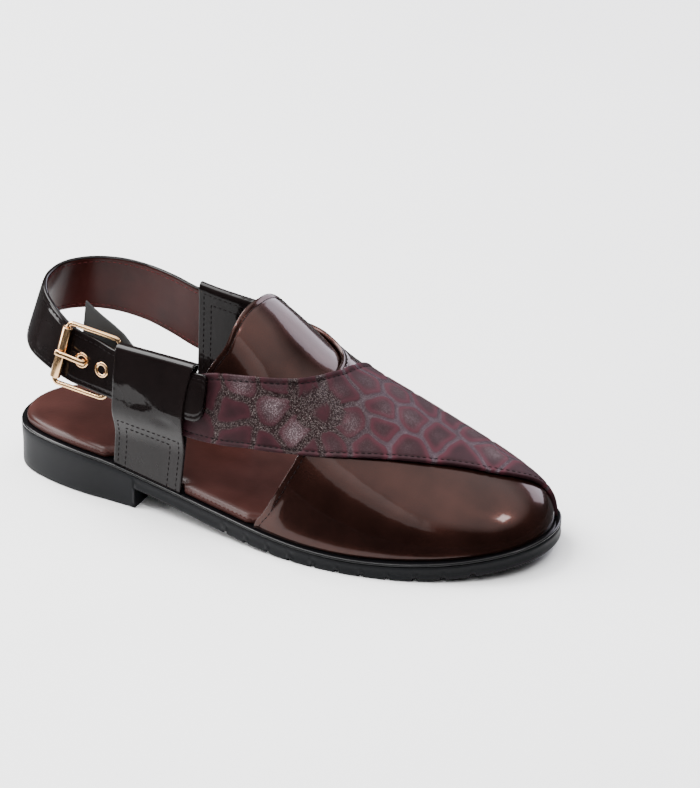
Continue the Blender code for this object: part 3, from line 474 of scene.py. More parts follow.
def feather(start, end, inner_start, inner_end, count, reach=1.0):
    """The foot's lower edge round the toe, in the flat map."""
    first = np.arccos(2 * start - 1) * (1 if inner_start else -1)
    last = np.arccos(2 * end - 1) * (1 if inner_end else -1)
    angle = np.linspace(first, last, count)
    side = np.where(angle > 0, reach - 0.5, 0.5)
    return np.column_stack([0.5 + 0.5 * np.cos(angle), side * np.sin(angle)])


def through(points, count):
    """Smooth path through points, resampled evenly along its length."""
    points = np.asarray(points, float)
    reach = reach_along(points)
    table = np.column_stack([reach / reach[-1], points])
    share = np.linspace(0, 1, count)
    return np.column_stack([curve(table, share, 1 + k) for k in range(points.shape[1])])


def patch(low, high, start, end):
    """Surface spanned by four edges: low and high run from start to end."""
    a = np.linspace(0, 1, len(low))[:, None, None]
    b = np.linspace(0, 1, len(start))[None, :, None]
    ruled = (1 - b) * low[:, None] + b * high[:, None]
    crossed = (1 - a) * start[None] + a * end[None]
    corners = (1 - a) * (1 - b) * low[0] + (1 - a) * b * high[0]
    corners = corners + a * (1 - b) * low[-1] + a * b * high[-1]
    return ruled + crossed - corners


def unit(vectors):
    """The vectors at length one."""
    return vectors / np.maximum(np.linalg.norm(vectors, axis=-1, keepdims=True), 1e-12)


def smooth_step(x, low, high):
    """0 below low, 1 above high, and an even S between them."""
    t = np.clip((x - low) / (high - low), 0, 1)
    return t * t * (3 - 2 * t)


def heel_to_frame():
    """Move from the heel's own frame to the model's, read from the sole."""
    along = np.linspace(0, 1, 400)
    low = np.array([0.0, float((centre(along) - half_width(along)).min()), 0.0])
    box = np.array(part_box("outsole")[0])
    return box - low


MOVE = heel_to_frame()


# Meshes

def add_piece(name, points, faces, materials, slots=None, maps=None, marks=None, flat=None):
    """A finished piece: points moved into the model's frame, faces with
    material numbers, a map of lengths along and across, and named marks."""
    mesh = bpy.data.meshes.new(name)
    mesh.from_pydata((points + MOVE).tolist(), [], faces if isinstance(faces, list) else faces.tolist())
    for made in materials:
        mesh.materials.append(made)
    count = len(mesh.polygons)
    if slots is not None:
        mesh.polygons.foreach_set("material_index", np.asarray(slots, np.int32))
    smooth = np.ones(count, bool) if flat is None else ~np.asarray(flat, bool)
    mesh.polygons.foreach_set("use_smooth", smooth)
    corner = np.empty(len(mesh.loops), np.int32)
    mesh.loops.foreach_get("vertex_index", corner)
    if maps is not None:
        layer = mesh.uv_layers.new(name="Surface")
        layer.data.foreach_set("uv", np.asarray(maps, np.float32)[corner].ravel())
    for label, values in (marks or {}).items():
        layer = mesh.attributes.new(label, "FLOAT", "POINT")
        layer.data.foreach_set("value", np.asarray(values, np.float32).ravel())
    mesh.update()
    thing = bpy.data.objects.new(name, mesh)
    bpy.context.scene.collection.objects.link(thing)
    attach(thing, "root")
    return thing


def border(rows, columns):
    """Numbers of a grid's border points in order."""
    index = np.arange(rows * columns).reshape(rows, columns)
    return np.concatenate([index[:, 0], index[-1, 1:], index[-2::-1, -1], index[0, -2:0:-1]])


def cells(rows, columns, wrap=False):
    """Four-sided faces of a grid of points, as an array."""
    index = np.arange(rows * columns).reshape(rows, columns)
    if wrap:
        index = np.concatenate([index, index[:, :1]], axis=1)
    return np.stack([index[:-1, :-1], index[1:, :-1], index[1:, 1:], index[:-1, 1:]], axis=-1).reshape(-1, 4)


def lengths(grid):
    """Distances along (first way) and across (second way) on a grid."""
    along = np.linalg.norm(np.diff(grid, axis=0), axis=-1)
    across = np.linalg.norm(np.diff(grid, axis=1), axis=-1)
    along = np.concatenate([np.zeros((1, grid.shape[1])), np.cumsum(along, axis=0)])
    across = np.concatenate([np.zeros((grid.shape[0], 1)), np.cumsum(across, axis=1)], axis=1)
    return along, across


def add_sheet(name, inside, outside, materials, marks=None, swell=SHEET_SWELL):
    """Leather between two grids. Its rim swings from the outside to the
    inside on half an ellipse that stands out in the leather's own plane.
    Materials: face, edge and back."""
    rows, columns = inside.shape[:2]
    count = rows * columns
    away = np.zeros_like(outside)
    away[0] += unit(outside[0] - outside[1])
    away[-1] += unit(outside[-1] - outside[-2])
    away[:, 0] += unit(outside[:, 0] - outside[:, 1])
    away[:, -1] += unit(outside[:, -1] - outside[:, -2])
    ring = border(rows, columns)
    out = outside.reshape(-1, 3)[ring]
    back = inside.reshape(-1, 3)[ring]
    middle = (out + back) / 2
    half = (out - back) / 2
    reach = np.linalg.norm(half, axis=1, keepdims=True) * swell
    away = unit(away.reshape(-1, 3)[ring])
    angle = np.linspace(np.pi / 2, -np.pi / 2, SHEET_TURNS + 2)[1:-1]
    rim = np.concatenate([middle + half * np.sin(a) + away * reach * np.cos(a) for a in angle])
    points = np.concatenate([outside.reshape(-1, 3), inside.reshape(-1, 3), rim])
    face = cells(rows, columns)
    probe = face[len(face) // 2]
    normal = np.cross(points[probe[1]] - points[probe[0]], points[probe[3]] - points[probe[0]])
    flip = np.dot(normal, points[probe[0]] - points[probe[0] + count]) < 0
    back_face = face[:, ::-1] + count
    between = [2 * count + k * len(ring) + np.arange(len(ring)) for k in range(SHEET_TURNS)]
    loops = [ring] + between + [ring + count]
    sides = []
    for first, second in zip(loops[:-1], loops[1:]):
        sides.append(np.stack([np.roll(first, -1), first, second, np.roll(second, -1)], axis=-1))
    faces = np.concatenate([face, back_face] + sides)
    if flip:
        faces = faces[:, ::-1]
    edge_count = len(faces) - 2 * len(face)
    slots = np.concatenate([np.zeros(len(face)), np.full(len(back_face), 2), np.ones(edge_count)])
    slots = np.minimum(slots, len(materials) - 1)
    flat_map = np.stack(lengths(outside), axis=-1).reshape(-1, 2)
    flat_map = np.concatenate([flat_map, flat_map] + [flat_map[ring]] * SHEET_TURNS)
    spread = {}
    for label, values in (marks or {}).items():
        values = np.asarray(values, float).ravel()
        spread[label] = np.concatenate([values, values] + [values[ring]] * SHEET_TURNS)
    return add_piece(name, points, faces, materials, slots, flat_map, spread)


def signed_volume(points, faces):
    """Six times the volume between the faces and the origin, each face a
    fan of triangles: above 0 when they point outwards."""
    a = points[faces[:, 0]]
    fans = range(1, faces.shape[1] - 1)
    return sum(np.sum(a * np.cross(points[faces[:, k]], points[faces[:, k + 1]])) for k in fans)


def add_rings(name, rings, materials, capped=False):
    """Rings joined one to the next: the last to the first, or, where they
    are capped, each end to a point in its middle."""
    rings = np.asarray(rings, float)
    rows, columns = rings.shape[:2]
    count = rows * columns
    side = cells(rows if capped else rows + 1, columns, wrap=True) % count
    along, across = lengths(np.concatenate([rings, rings[:, :1]], axis=1))
    maps = np.stack([along[:, :-1], across[:, :-1]], axis=-1).reshape(-1, 2)
    points = rings.reshape(-1, 3)
    tips = np.empty((0, 3), int)
    if capped:
        points = np.concatenate([points, rings[:1].mean(axis=1), rings[-1:].mean(axis=1)])
        maps = np.concatenate([maps, maps[:1], maps[-1:]])
        j = np.arange(columns)
        k = (j + 1) % columns
        first = np.column_stack([j, k, np.full(columns, count)])
        last = np.column_stack([count - columns + k, count - columns + j, np.full(columns, count + 1)])
        tips = np.stack([first, last], axis=1).reshape(-1, 3)
    if signed_volume(points, side) + signed_volume(points, tips) < 0:
        side, tips = side[:, ::-1], tips[:, ::-1]
    return add_piece(name, points, side.tolist() + tips.tolist(), materials, maps=maps)


def tube_rings(path, radius, sides, closed=False, squash=1.0):
    """Rings round a path: a circle in the plane across it, pressed flat by
    the squash along the path's own plane normal."""
    path = np.asarray(path, float)
    if closed:
        tangent = np.roll(path, -1, axis=0) - np.roll(path, 1, axis=0)
    else:
        tangent = np.gradient(path, axis=0)
    tangent = unit(tangent)
    spread = np.linalg.svd(path - path.mean(axis=0))[2][2]
    side = unit(np.cross(tangent, spread))
    other = np.cross(side, tangent)
    angle = np.arange(sides) * 2 * np.pi / sides
    radius = np.broadcast_to(radius, len(path))[:, None, None]
    ring = np.cos(angle)[None, :, None] * side[:, None]
    ring = ring + squash * np.sin(angle)[None, :, None] * other[:, None]
    return path[:, None] + ring * radius


def stitch_run(path, normal):
    """Thread lying on a path: each stitch is a bowed, tapered tube with both
    ends down in the leather. Returns points and faces for add_piece."""
    length, gap, radius = sizes().stitch, sizes().stitch_gap, sizes().thread
    reach = reach_along(path)
    pitch = length + gap
    count = max(int((reach[-1] - gap) / pitch), 1)
    starts = (reach[-1] - count * pitch + gap) / 2 + np.arange(count) * pitch
    share = np.linspace(0, 1, 6)
    spots = starts[:, None] + share[None] * length
    line = np.stack([np.interp(spots, reach, path[:, k]) for k in range(3)], axis=-1)
    out = unit(np.stack([np.interp(spots, reach, normal[:, k]) for k in range(3)], axis=-1))
    ahead = unit(np.gradient(line, axis=1))
    side = unit(np.cross(out, ahead))
    bow = np.sin(share * np.pi) ** 0.6
    thick = radius * (0.55 + 0.45 * bow)
    line = line + out * (radius * (bow - 1 - STITCH_SINK) + radius * STITCH_RISE)[None, :, None]
    angle = np.arange(6) * np.pi / 3
    ring = np.cos(angle)[None, None, :, None] * side[:, :, None]
    ring = ring + np.sin(angle)[None, None, :, None] * out[:, :, None]
    points = line[:, :, None] + ring * thick[None, :, None, None]
    rows, columns = len(share), len(angle)
    one = cells(rows, columns, wrap=True)[:, ::-1]
    shift = (np.arange(count) * rows * columns)[:, None, None]
    faces = (one[None] + shift).reshape(-1, 4)
    ends = np.array([[0, 1, 2, 3], [0, 3, 4, 5]])
    last = (rows - 1) * columns
    tips = np.concatenate([ends[:, ::-1], ends + last])
    faces = np.concatenate([faces, (tips[None, ::-1, ::-1] + shift).reshape(-1, 4)])
    return points.reshape(-1, 3), faces


def add_stitches(name, runs, thread):
    """One piece from several runs of stitches."""
    points = []
    faces = []
    shift = 0
    for some_points, some_faces in runs:
        points.append(some_points)
        faces.append(some_faces + shift)
        shift += len(some_points)
    return add_piece(name, np.concatenate(points), np.concatenate(faces), [thread])


def line_across(grid, distance, from_end=False):
    """Path on a grid at a distance in from one long side, with normals."""
    across = lengths(grid)[1]
    if from_end:
        across = across[:, -1:] - across
        order = slice(None, None, -1)
    else:
        order = slice(None)
    rows = grid.shape[0]
    normal = unit(np.cross(np.gradient(grid, axis=0), np.gradient(grid, axis=1)))
    path = np.empty((rows, 3))
    out = np.empty((rows, 3))
    for k in range(3):
        path[:, k] = [np.interp(distance, across[i, order], grid[i, order, k]) for i in range(rows)]
        out[:, k] = [np.interp(distance, across[i, order], normal[i, order, k]) for i in range(rows)]
    return path, unit(out)


# Materials

def material(name, colour, roughness, metallic=0.0, coat=0.0, coat_roughness=0.05):
    """A shader in one colour, ready for its detail."""
    made = bpy.data.materials.new(name)
    made.use_nodes = True
    shader = made.node_tree.nodes["Principled BSDF"]
    shader.inputs["Base Color"].default_value = (*colour, 1.0)
    shader.inputs["Roughness"].default_value = roughness
    shader.inputs["Metallic"].default_value = metallic
    shader.inputs["Coat Weight"].default_value = coat
    shader.inputs["Coat Roughness"].default_value = coat_roughness
    return made, made.node_tree, shader


def node(tree, kind, values=None, **settings):
    """A shader node with its settings and input values."""
    made = tree.nodes.new(kind)
    for label, value in settings.items():
        setattr(made, label, value)
    for label, value in (values or {}).items():
        made.inputs[label].default_value = value
    return made


def place(tree, scale, kind="Object"):
    """Object coordinates, or the piece's own map, scaled."""
    where = node(tree, "ShaderNodeTexCoord")
    mapping = node(tree, "ShaderNodeMapping", {"Scale": scale})
    tree.links.new(where.outputs[kind], mapping.inputs["Vector"])
    return mapping.outputs["Vector"]


def noise(tree, vector, scale, detail=3.0, roughness=0.5):
    """Cloudy noise."""
    made = node(tree, "ShaderNodeTexNoise", {"Scale": scale, "Detail": detail, "Roughness": roughness})
    tree.links.new(vector, made.inputs["Vector"])
    return made.outputs["Fac"]


def cells_texture(tree, vector, scale, feature="F1"):
    """Cell texture's distance."""
    made = node(tree, "ShaderNodeTexVoronoi", {"Scale": scale}, feature=feature)
    tree.links.new(vector, made.inputs["Vector"])
    return made.outputs["Distance"]


def ramp(tree, value, stops):
    """Colour ramp: (place, grey or colour) stops."""
    made = node(tree, "ShaderNodeValToRGB")
    elements = made.color_ramp.elements
    while len(elements) < len(stops):
        elements.new(0.5)
    for element, (spot, colour) in zip(elements, stops):
        element.position = spot
        element.color = (*colour, 1.0) if hasattr(colour, "__len__") else (colour, colour, colour, 1.0)
    tree.links.new(value, made.inputs["Fac"])
    return made.outputs["Color"]


def shades(colour, *stops):
    """Stops of a ramp: (place, brightness of the colour)."""
    return [(spot, tuple(min(c * share, 1) for c in colour)) for spot, share in stops]


def mix(tree, share, first, second):
    """Two colours or values mixed."""
    made = node(tree, "ShaderNodeMix", data_type="RGBA")
    for value, label, kind in ((share, "Factor", "VALUE"), (first, "A", "RGBA"), (second, "B", "RGBA")):
        socket = next(s for s in made.inputs if s.name == label and s.type == kind)
        if isinstance(value, bpy.types.NodeSocket):
            tree.links.new(value, socket)
        elif hasattr(value, "__len__"):
            socket.default_value = (*value, 1.0)
        else:
            socket.default_value = value if label == "Factor" else (value, value, value, 1.0)
    return next(s for s in made.outputs if s.type == "RGBA")


def arithmetic(tree, operation, first, second=0.0):
    """One step of arithmetic on values."""
    made = node(tree, "ShaderNodeMath", operation=operation)
    for socket, value in zip(made.inputs, (first, second)):
        if isinstance(value, bpy.types.NodeSocket):
            tree.links.new(value, socket)
        else:
            socket.default_value = value
    return made.outputs[0]


def mark(tree, label):
    """A named mark that the piece carries."""
    return node(tree, "ShaderNodeAttribute", attribute_name=label).outputs["Fac"]


def bump(tree, shader, layers, coat=False):
    """Bumps laid one on the other: (height, strength, distance in metres)."""
    previous = None
    for height, strength, distance in layers:
        made = node(tree, "ShaderNodeBump", {"Strength": strength, "Distance": distance})
        tree.links.new(height, made.inputs["Height"])
        if previous is not None:
            tree.links.new(previous, made.inputs["Normal"])
        previous = made.outputs["Normal"]
    tree.links.new(previous, shader.inputs["Normal"])
    if coat:
        tree.links.new(previous, shader.inputs["Coat Normal"])


def patent_material(name, colour, metallic, depth, roughness, gloss, blur):
    """Lacquered leather: faint grain under a clear, slightly rippled coat."""
    made, tree, shader = material(name, colour, roughness, metallic, 1.0, blur)
    shader.inputs["Specular IOR Level"].default_value = 0.02
    shader.inputs["Coat IOR"].default_value = gloss
    spots = place(tree, (1, 1, 1))
    cloud = noise(tree, spots, 45, 3)
    tree.links.new(ramp(tree, cloud, shades(colour, (0.3, 0.72), (0.7, 1.3))), shader.inputs["Base Color"])
    grain = noise(tree, spots, 1500, 2)
    ripple = noise(tree, spots, 120, 2)
    swell = noise(tree, spots, 28, 1)
    layers = [(swell, 0.25 * depth, 1.2 * MM), (ripple, 0.10 * depth, 0.5 * MM), (grain, 0.05, 0.1 * MM)]
    bump(tree, shader, layers, coat=True)
    tree.links.new(ramp(tree, cloud, [(0.2, roughness * 0.85), (0.8, roughness * 1.2)]),
                   shader.inputs["Roughness"])
    return made


def lining_material(name, colour):
    """Smooth waxed lining leather with fine pores."""
    made, tree, shader = material(name, colour, 0.42, 0.0, 0.5, 0.22)
    shader.inputs["Specular IOR Level"].default_value = 0.05
    shader.inputs["Coat IOR"].default_value = 1.25
    spots = place(tree, (1, 1, 1))
    cloud = noise(tree, spots, 60, 4)
    tree.links.new(ramp(tree, cloud, shades(colour, (0.25, 0.75), (0.75, 1.25))), shader.inputs["Base Color"])
    pores = cells_texture(tree, spots, 1300)
    creases = noise(tree, spots, 420, 4)
    bump(tree, shader, [(creases, 0.18, 0.3 * MM), (pores, 0.12, 0.1 * MM)])
    tree.links.new(ramp(tree, cloud, [(0.2, 0.34), (0.8, 0.52)]), shader.inputs["Roughness"])
    return made


def printed_material(name, finish):
    """Leather embossed with large soft cells between channels of tiny
    scales. Marks lead it: 'cell' is 0 in a channel and 1 inside a cell,
    'halo' its paler edge, 'sheen' a painted sheen of pale grey speckles
    in its middle, and 'plain' tells where channels are smooth and grey.
    The scales' bright centres are a painted glint."""
    made, tree, shader = material(name, tuple(finish.burgundy), 0.55)
    shader.inputs["Specular IOR Level"].default_value = 0.12
    cell = mark(tree, "cell")
    spots = place(tree, (1, 1, 1), "UV")
    cloud = noise(tree, spots, 170, 5, 0.65)
    tiny = cells_texture(tree, spots, 1500)
    edge = cells_texture(tree, spots, 1500, "DISTANCE_TO_EDGE")
    body = ramp(tree, cloud, shades(finish.burgundy, (0.3, 0.62), (0.7, 1.0)))
    body = mix(tree, arithmetic(tree, "MULTIPLY", mark(tree, "halo"), 0.75), body, tuple(finish.halo))
    speckle = ramp(tree, tiny, [(0.15, 1.0), (0.55, 0.0)])
    # Painted sheen: pale grey speckles over the middle of some cells, also made metallic below
    painted_sheen = arithmetic(tree, "MULTIPLY", mark(tree, "sheen"), arithmetic(tree, "ADD", speckle, 0.25))
    body = mix(tree, painted_sheen, body, tuple(finish.sheen))
    # Scales: a painted glint on their centres, dark gaps between them
    scales = ramp(tree, tiny, [(0.15, tuple(finish.scale_painted_glint)), (0.55, tuple(finish.scale_dark))])
    channel = mix(tree, arithmetic(tree, "MULTIPLY", mark(tree, "plain"), 0.8), scales, tuple(finish.channel))
    tree.links.new(mix(tree, cell, channel, body), shader.inputs["Base Color"])
    inverse = arithmetic(tree, "SUBTRACT", 1.0, cell)
    shiny = arithmetic(tree, "MAXIMUM", arithmetic(tree, "MULTIPLY", inverse, 0.6),
                       arithmetic(tree, "MULTIPLY", painted_sheen, 0.6))
    tree.links.new(shiny, shader.inputs["Metallic"])
    rough = arithmetic(tree, "SUBTRACT", 0.62, arithmetic(tree, "MULTIPLY", shiny, 0.55))
    tree.links.new(rough, shader.inputs["Roughness"])
    scaly = arithmetic(tree, "MAXIMUM", inverse, mark(tree, "sheen"))
    fine = arithmetic(tree, "MULTIPLY", ramp(tree, edge, [(0.0, 0.0), (0.25, 1.0)]), scaly)
    suede = noise(tree, spots, 2600, 2)
    bump(tree, shader, [(fine, 0.7, 0.4 * MM), (suede, 0.12, 0.2 * MM)])
    return made


def rubber_material(name, colour, roughness, coat):
    """Moulded rubber with a fine matt skin and a few scuffs."""
    made, tree, shader = material(name, colour, roughness, 0.0, coat, 0.2)
    shader.inputs["Specular IOR Level"].default_value = 0.1
    shader.inputs["Coat IOR"].default_value = 1.3
    spots = place(tree, (1, 1, 1))
    cloud = noise(tree, spots, 30, 5)
    tree.links.new(ramp(tree, cloud, shades(colour, (0.3, 0.75), (0.7, 1.3))), shader.inputs["Base Color"])
    skin = noise(tree, spots, 2200, 2)
    bump(tree, shader, [(cloud, 0.08, 0.6 * MM), (skin, 0.12, 0.1 * MM)])
    tree.links.new(ramp(tree, cloud, [(0.25, roughness * 0.8), (0.75, min(roughness * 1.25, 1))]),
                   shader.inputs["Roughness"])
    return made


def thread_material(name, colour):
    """Twisted waxed thread."""
    made, tree, shader = material(name, colour, 0.6)
    shader.inputs["Specular IOR Level"].default_value = 0.08
    spots = place(tree, (1, 1, 1))
    twist = noise(tree, spots, 2600, 2)
    bump(tree, shader, [(twist, 0.4, 0.1 * MM)])
    tree.links.new(ramp(tree, twist, shades(colour, (0.3, 0.6), (0.7, 1.0))), shader.inputs["Base Color"])
    return made


def gilt_material(name, colour):
    """Polished plated metal with faint handling marks."""
    made, tree, shader = material(name, colour, 0.16, 1.0)
    spots = place(tree, (1, 1, 1))
    cloud = noise(tree, spots, 260, 4)
    tree.links.new(ramp(tree, cloud, [(0.3, 0.12), (0.75, 0.26)]), shader.inputs["Roughness"])
    fine = noise(tree, spots, 900, 3)
    bump(tree, shader, [(fine, 0.05, 0.1 * MM)])
    tree.links.new(ramp(tree, cloud, shades(colour, (0.2, 0.9), (0.8, 1.0))), shader.inputs["Base Color"])
    return made


def webbing_material(name, colour):
    """Narrow ribs of woven elastic running up the flap."""
    made, tree, shader = material(name, colour, 0.85)
    spots = place(tree, (1, 1, 1), "UV")
    ribs = node(tree, "ShaderNodeTexWave", {"Scale": 160.0, "Distortion": 0.6, "Detail": 2.0},
                bands_direction="X")
    tree.links.new(spots, ribs.inputs["Vector"])
    picks = node(tree, "ShaderNodeTexWave", {"Scale": 420.0, "Distortion": 0.4}, bands_direction="Y")
    tree.links.new(spots, picks.inputs["Vector"])
    bump(tree, shader, [(ribs.outputs["Fac"], 0.5, 0.3 * MM), (picks.outputs["Fac"], 0.4, 0.2 * MM)])
    tree.links.new(ramp(tree, ribs.outputs["Fac"], shades(colour, (0.2, 0.5), (0.8, 1.8))),
                   shader.inputs["Base Color"])
    return made


def length_property(name, description, value):
    """A length that the user may change."""
    return FloatProperty(name=name, description=description, default=value, subtype="DISTANCE")


class ChappalSizes(bpy.types.PropertyGroup):
    """Sizes of the finer work."""
    stitch: length_property("Stitch", "Length of one stitch", 2.3 * MM)
    stitch_gap: length_property("Stitch gap", "Gap between stitches", 0.8 * MM)
    thread: length_property("Thread", "Radius of the thread", 0.26 * MM)
    seam: length_property("Seam", "Stitches in from an edge", 2.6 * MM)
    cell_height: length_property("Cells", "How far the print's cells stand up", 0.32 * MM)


def colour_property(name, description, value):
    """A colour that the user may change."""
    return FloatVectorProperty(name=name, description=description, default=value, size=3, subtype="COLOR",
                               min=0.0, max=1.0)


class ChappalFinish(bpy.types.PropertyGroup):
    """Colours of the leathers, rubber and metal."""
    burgundy: colour_property("Burgundy", "Cells of the printed leather", (0.020, 0.0046, 0.0072))
    halo: colour_property("Halo", "Lighter edge of the cells", (0.055, 0.010, 0.017))
    # Painted sheen: pale grey laid over the middle of some cells
    sheen: colour_property("Sheen", "Rubbed middle of some cells", (0.19, 0.145, 0.155))
    # Painted glint: bright centres of the tiny scales
    scale_painted_glint: colour_property("Scale", "Bright side of the tiny scales", (0.105, 0.084, 0.081))
    scale_dark: colour_property("Scale gap", "Dark side of the tiny scales", (0.014, 0.0065, 0.0070))
    channel: colour_property("Channel", "Smooth channels on the toe's side", (0.060, 0.040, 0.049))
    brown: colour_property("Brown patent", "Band and tongue", (0.0270, 0.0098, 0.0074))
    black: colour_property("Black patent", "Loops and heel strap", (0.004, 0.0025, 0.0025))
    lining: colour_property("Lining", "Inside of the heel strap", (0.036, 0.0080, 0.0068))
    insole: colour_property("Insole", "Footbed", (0.033, 0.0108, 0.0088))
    sole: colour_property("Sole", "Moulded rubber", (0.0042, 0.0045, 0.0054))
    rim: colour_property("Rim", "Glossy rim", (0.0025, 0.0025, 0.003))
    gilt: colour_property("Gilt", "Buckle and eyelets", (0.80, 0.50, 0.26))
    thread: colour_property("Thread", "Stitches", (0.006, 0.0035, 0.004))


def sizes():
    """The scene's sizes."""
    return bpy.context.scene.chappal_sizes


def finish():
    """The scene's colours."""
    return bpy.context.scene.chappal_finish


def shared(name, maker, *args):
    """A material made once and used by several pieces."""
    found = bpy.data.materials.get(name)
    return found if found is not None else maker(name, *args)


def black_patent():
    """Black lacquered leather."""
    return shared("black patent", patent_material, tuple(finish().black), 0.0, 2.4, 0.3, 1.24, 0.03)


def shaded_patent():
    """Black lacquered leather with a duller coat, for the inner loop: a
    shaded copy of the black patent, its weaker reflections painted shade.
    """
    return shared("shaded patent", patent_material, tuple(finish().black), 0.0, 4.0, 0.3, 1.17, 0.03)


def brown_patent():
    """Brown lacquered leather with a metallic depth."""
    return shared("brown patent", patent_material, tuple(finish().brown), 0.80, 1.2, 0.24, 1.25, 0.07)


def thread():
    """Dark thread."""
    return shared("thread", thread_material, tuple(finish().thread))


def lining():
    """Lining leather."""
    return shared("strap lining", lining_material, tuple(finish().lining))


# Sole

def sole_outline(along, inset):
    """Points up the outer side to the toe and back down the inner side,
    moved in square to the outline."""
    outer = np.column_stack([along * LENGTH, centre(along) - half_width(along)])
    inner = np.column_stack([along * LENGTH, centre(along) + half_width(along)])
    loop = np.concatenate([outer, inner[-2:0:-1]])
    ahead = unit(np.roll(loop, -1, axis=0) - np.roll(loop, 1, axis=0))
    inward = np.column_stack([-ahead[:, 1], ahead[:, 0]])
    return loop + inward * np.asarray(inset, float)[..., None]


def groove_lift(along):
    """How far the underside is raised in the tread's grooves."""
    x = along * LENGTH - GROOVE_START * LENGTH
    number = np.round(x / GROOVE_PITCH)
    count = int(GROOVE_START * LENGTH / GROOVE_PITCH)
    near = np.abs(x - number * GROOVE_PITCH) < GROOVE_WIDTH / 2
    return np.where(near & (number >= 0) & (number <= count), GROOVE_DEPTH, 0.0)


def sole_stations():
    """Shares of the length, close at both ends and at each step."""
    along = close_at_ends(OUTLINE_POINTS)
    step = 0.06 * MM / LENGTH
    count = int(GROOVE_START * LENGTH / GROOVE_PITCH) + 1
    grooves = GROOVE_START + np.arange(count) * GROOVE_PITCH / LENGTH
    half = GROOVE_WIDTH / 2 / LENGTH
    marks = np.concatenate([grooves - half, grooves + half, [HEEL_FRONT]])
    marks = marks[marks < 0.995]
    extra = np.concatenate([marks - step, marks + step])
    near = np.min(np.abs(along[:, None] - marks[None]), axis=1) < 0.6 * MM / LENGTH
    return np.sort(np.r_[along[~near], extra])


def build_outsole():
    """Sole's side: rings from the ground up, with a rounded lower edge and
    a shallow line under the rim; strips close it below and above."""
    along = sole_stations()
    top = WELT_THICKNESS + CLEARANCE
    stations = np.concatenate([along, along[-2:0:-1]])
    ground = underside_height(stations) + groove_lift(stations)
    rings = []
    for inset, lift in SOLE_EDGE_ROUND:
        loop = sole_outline(along, inset * MM)
        rings.append(np.column_stack([loop, ground + lift * MM]))
    low = ground + SOLE_ROUND
    for share in np.linspace(0.0, 1.0, 9)[1:]:
        loop = sole_outline(along, SOLE_HOLLOW * np.sin(share * np.pi) ** 2)
        height = rim_over(loop) - top - SHADOW_LINE
        rings.append(np.column_stack([loop, low + (height - low) * share]))
    loop = sole_outline(along, 0.35 * MM)
    rings.append(np.column_stack([loop, rim_over(loop) - top]))
    rings = np.array(rings)
    columns = rings.shape[1]
    side = cells(len(rings), columns, wrap=True)
    last = len(along) - 1
    i = np.arange(last)
    strip = np.stack([i, i + 1, (columns - i - 1) % columns, (columns - i) % columns], axis=-1)
    lid = strip + (len(rings) - 1) * columns
    faces = [list(dict.fromkeys(f)) for f in np.concatenate([side[:, ::-1], strip[:, ::-1], lid]).tolist()]
    flat = np.r_[np.zeros(len(side)), np.ones(2 * len(strip))]
    rubber = shared("sole rubber", rubber_material, tuple(finish().sole), 0.50, 0.0)
    sole = add_piece("rubber_sole", rings.reshape(-1, 3), faces, [rubber], flat=flat)
    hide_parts("outsole")


def build_rim():
    """Glossy rim: a flattened round section carried round the outline."""
    along = close_at_ends(OUTLINE_POINTS)
    half = WELT_THICKNESS / 2
    section = [(WELT_WIDTH, 2 * half), (RIM_ROUND, 2 * half)]
    for angle in np.linspace(-0.5, 0.5, 9) * np.pi:
        section.append((RIM_ROUND * (1 - np.cos(angle)), half * (1 - np.sin(angle))))
    section += [(RIM_ROUND, 0.0), (WELT_WIDTH, 0.0)]
    rings = []
    for inset, drop in section:
        loop = sole_outline(along, inset)
        rings.append(np.column_stack([loop, rim_over(loop) - drop]))
    rubber = shared("rim rubber", rubber_material, tuple(finish().rim), 0.22, 0.5)
    rim = add_rings("glossy_rim", rings, [rubber])
    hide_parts("welt")


def insole_inset(along):
    """How far the padded board stays in: wide at heel and waist, and
    narrow where bands and loops come down beside it."""
    first = np.interp(along, INSOLE_OUTER_EDGE[:, 0], INSOLE_OUTER_EDGE[:, 1])
    second = np.interp(along, INSOLE_INNER_EDGE[:, 0], INSOLE_INNER_EDGE[:, 1])
    return first * WELT_WIDTH, second * WELT_WIDTH


def build_insole():
    """Footbed: its top is flat and rolls down to the board on a quarter
    ellipse before the outline."""
    along = close_at_ends(BOARD_POINTS[0])
    first, second = insole_inset(along)
    loop = sole_outline(along, np.r_[first, second[-2:0:-1]])
    outer = loop[:len(along)]
    inner = np.concatenate([loop[:1], loop[:len(along) - 1:-1], loop[len(along) - 1:len(along)]])
    across = close_at_ends(BOARD_POINTS[1])
    plan = outer[:, None] * (1 - across)[None, :, None] + inner[:, None] * across[None, :, None]
    distance = np.full(plan.shape[:2], np.inf)
    for spot in loop[::2]:
        distance = np.minimum(distance, np.linalg.norm(plan - spot, axis=-1))
    roll = np.clip(1 - (distance - 0.4 * MM) / BOARD_ROLL, 0, 1)
    top = INSOLE_THICKNESS * (0.5 + 0.5 * np.sqrt(1 - roll ** 2))
    level = rim_over(plan) + CLEARANCE
    outside = np.concatenate([plan, (level + top)[..., None]], axis=-1)
    inside = np.concatenate([plan, level[..., None]], axis=-1)
    leather = shared("insole leather", lining_material, tuple(finish().insole))
    board = add_sheet("footbed", inside, outside, [leather], swell=0.3)
    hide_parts("insole")


# Bands

def under_band_plan():
    """Shares along and around for the patent band's grid."""
    rows, columns = UNDER_BAND_POINTS
    throat = through(unfold(UNDER_THROAT_EDGE), rows)
    low = through(unfold(UNDER_LOW_EDGE), rows)
    start = np.linspace(throat[0], low[0], columns)
    first, last = UNDER_THROAT_EDGE[-1], UNDER_LOW_EDGE[-1]
    end = feather(first[0], last[0], False, True, columns, last[1])
    return fold(patch(throat, low, start, end))


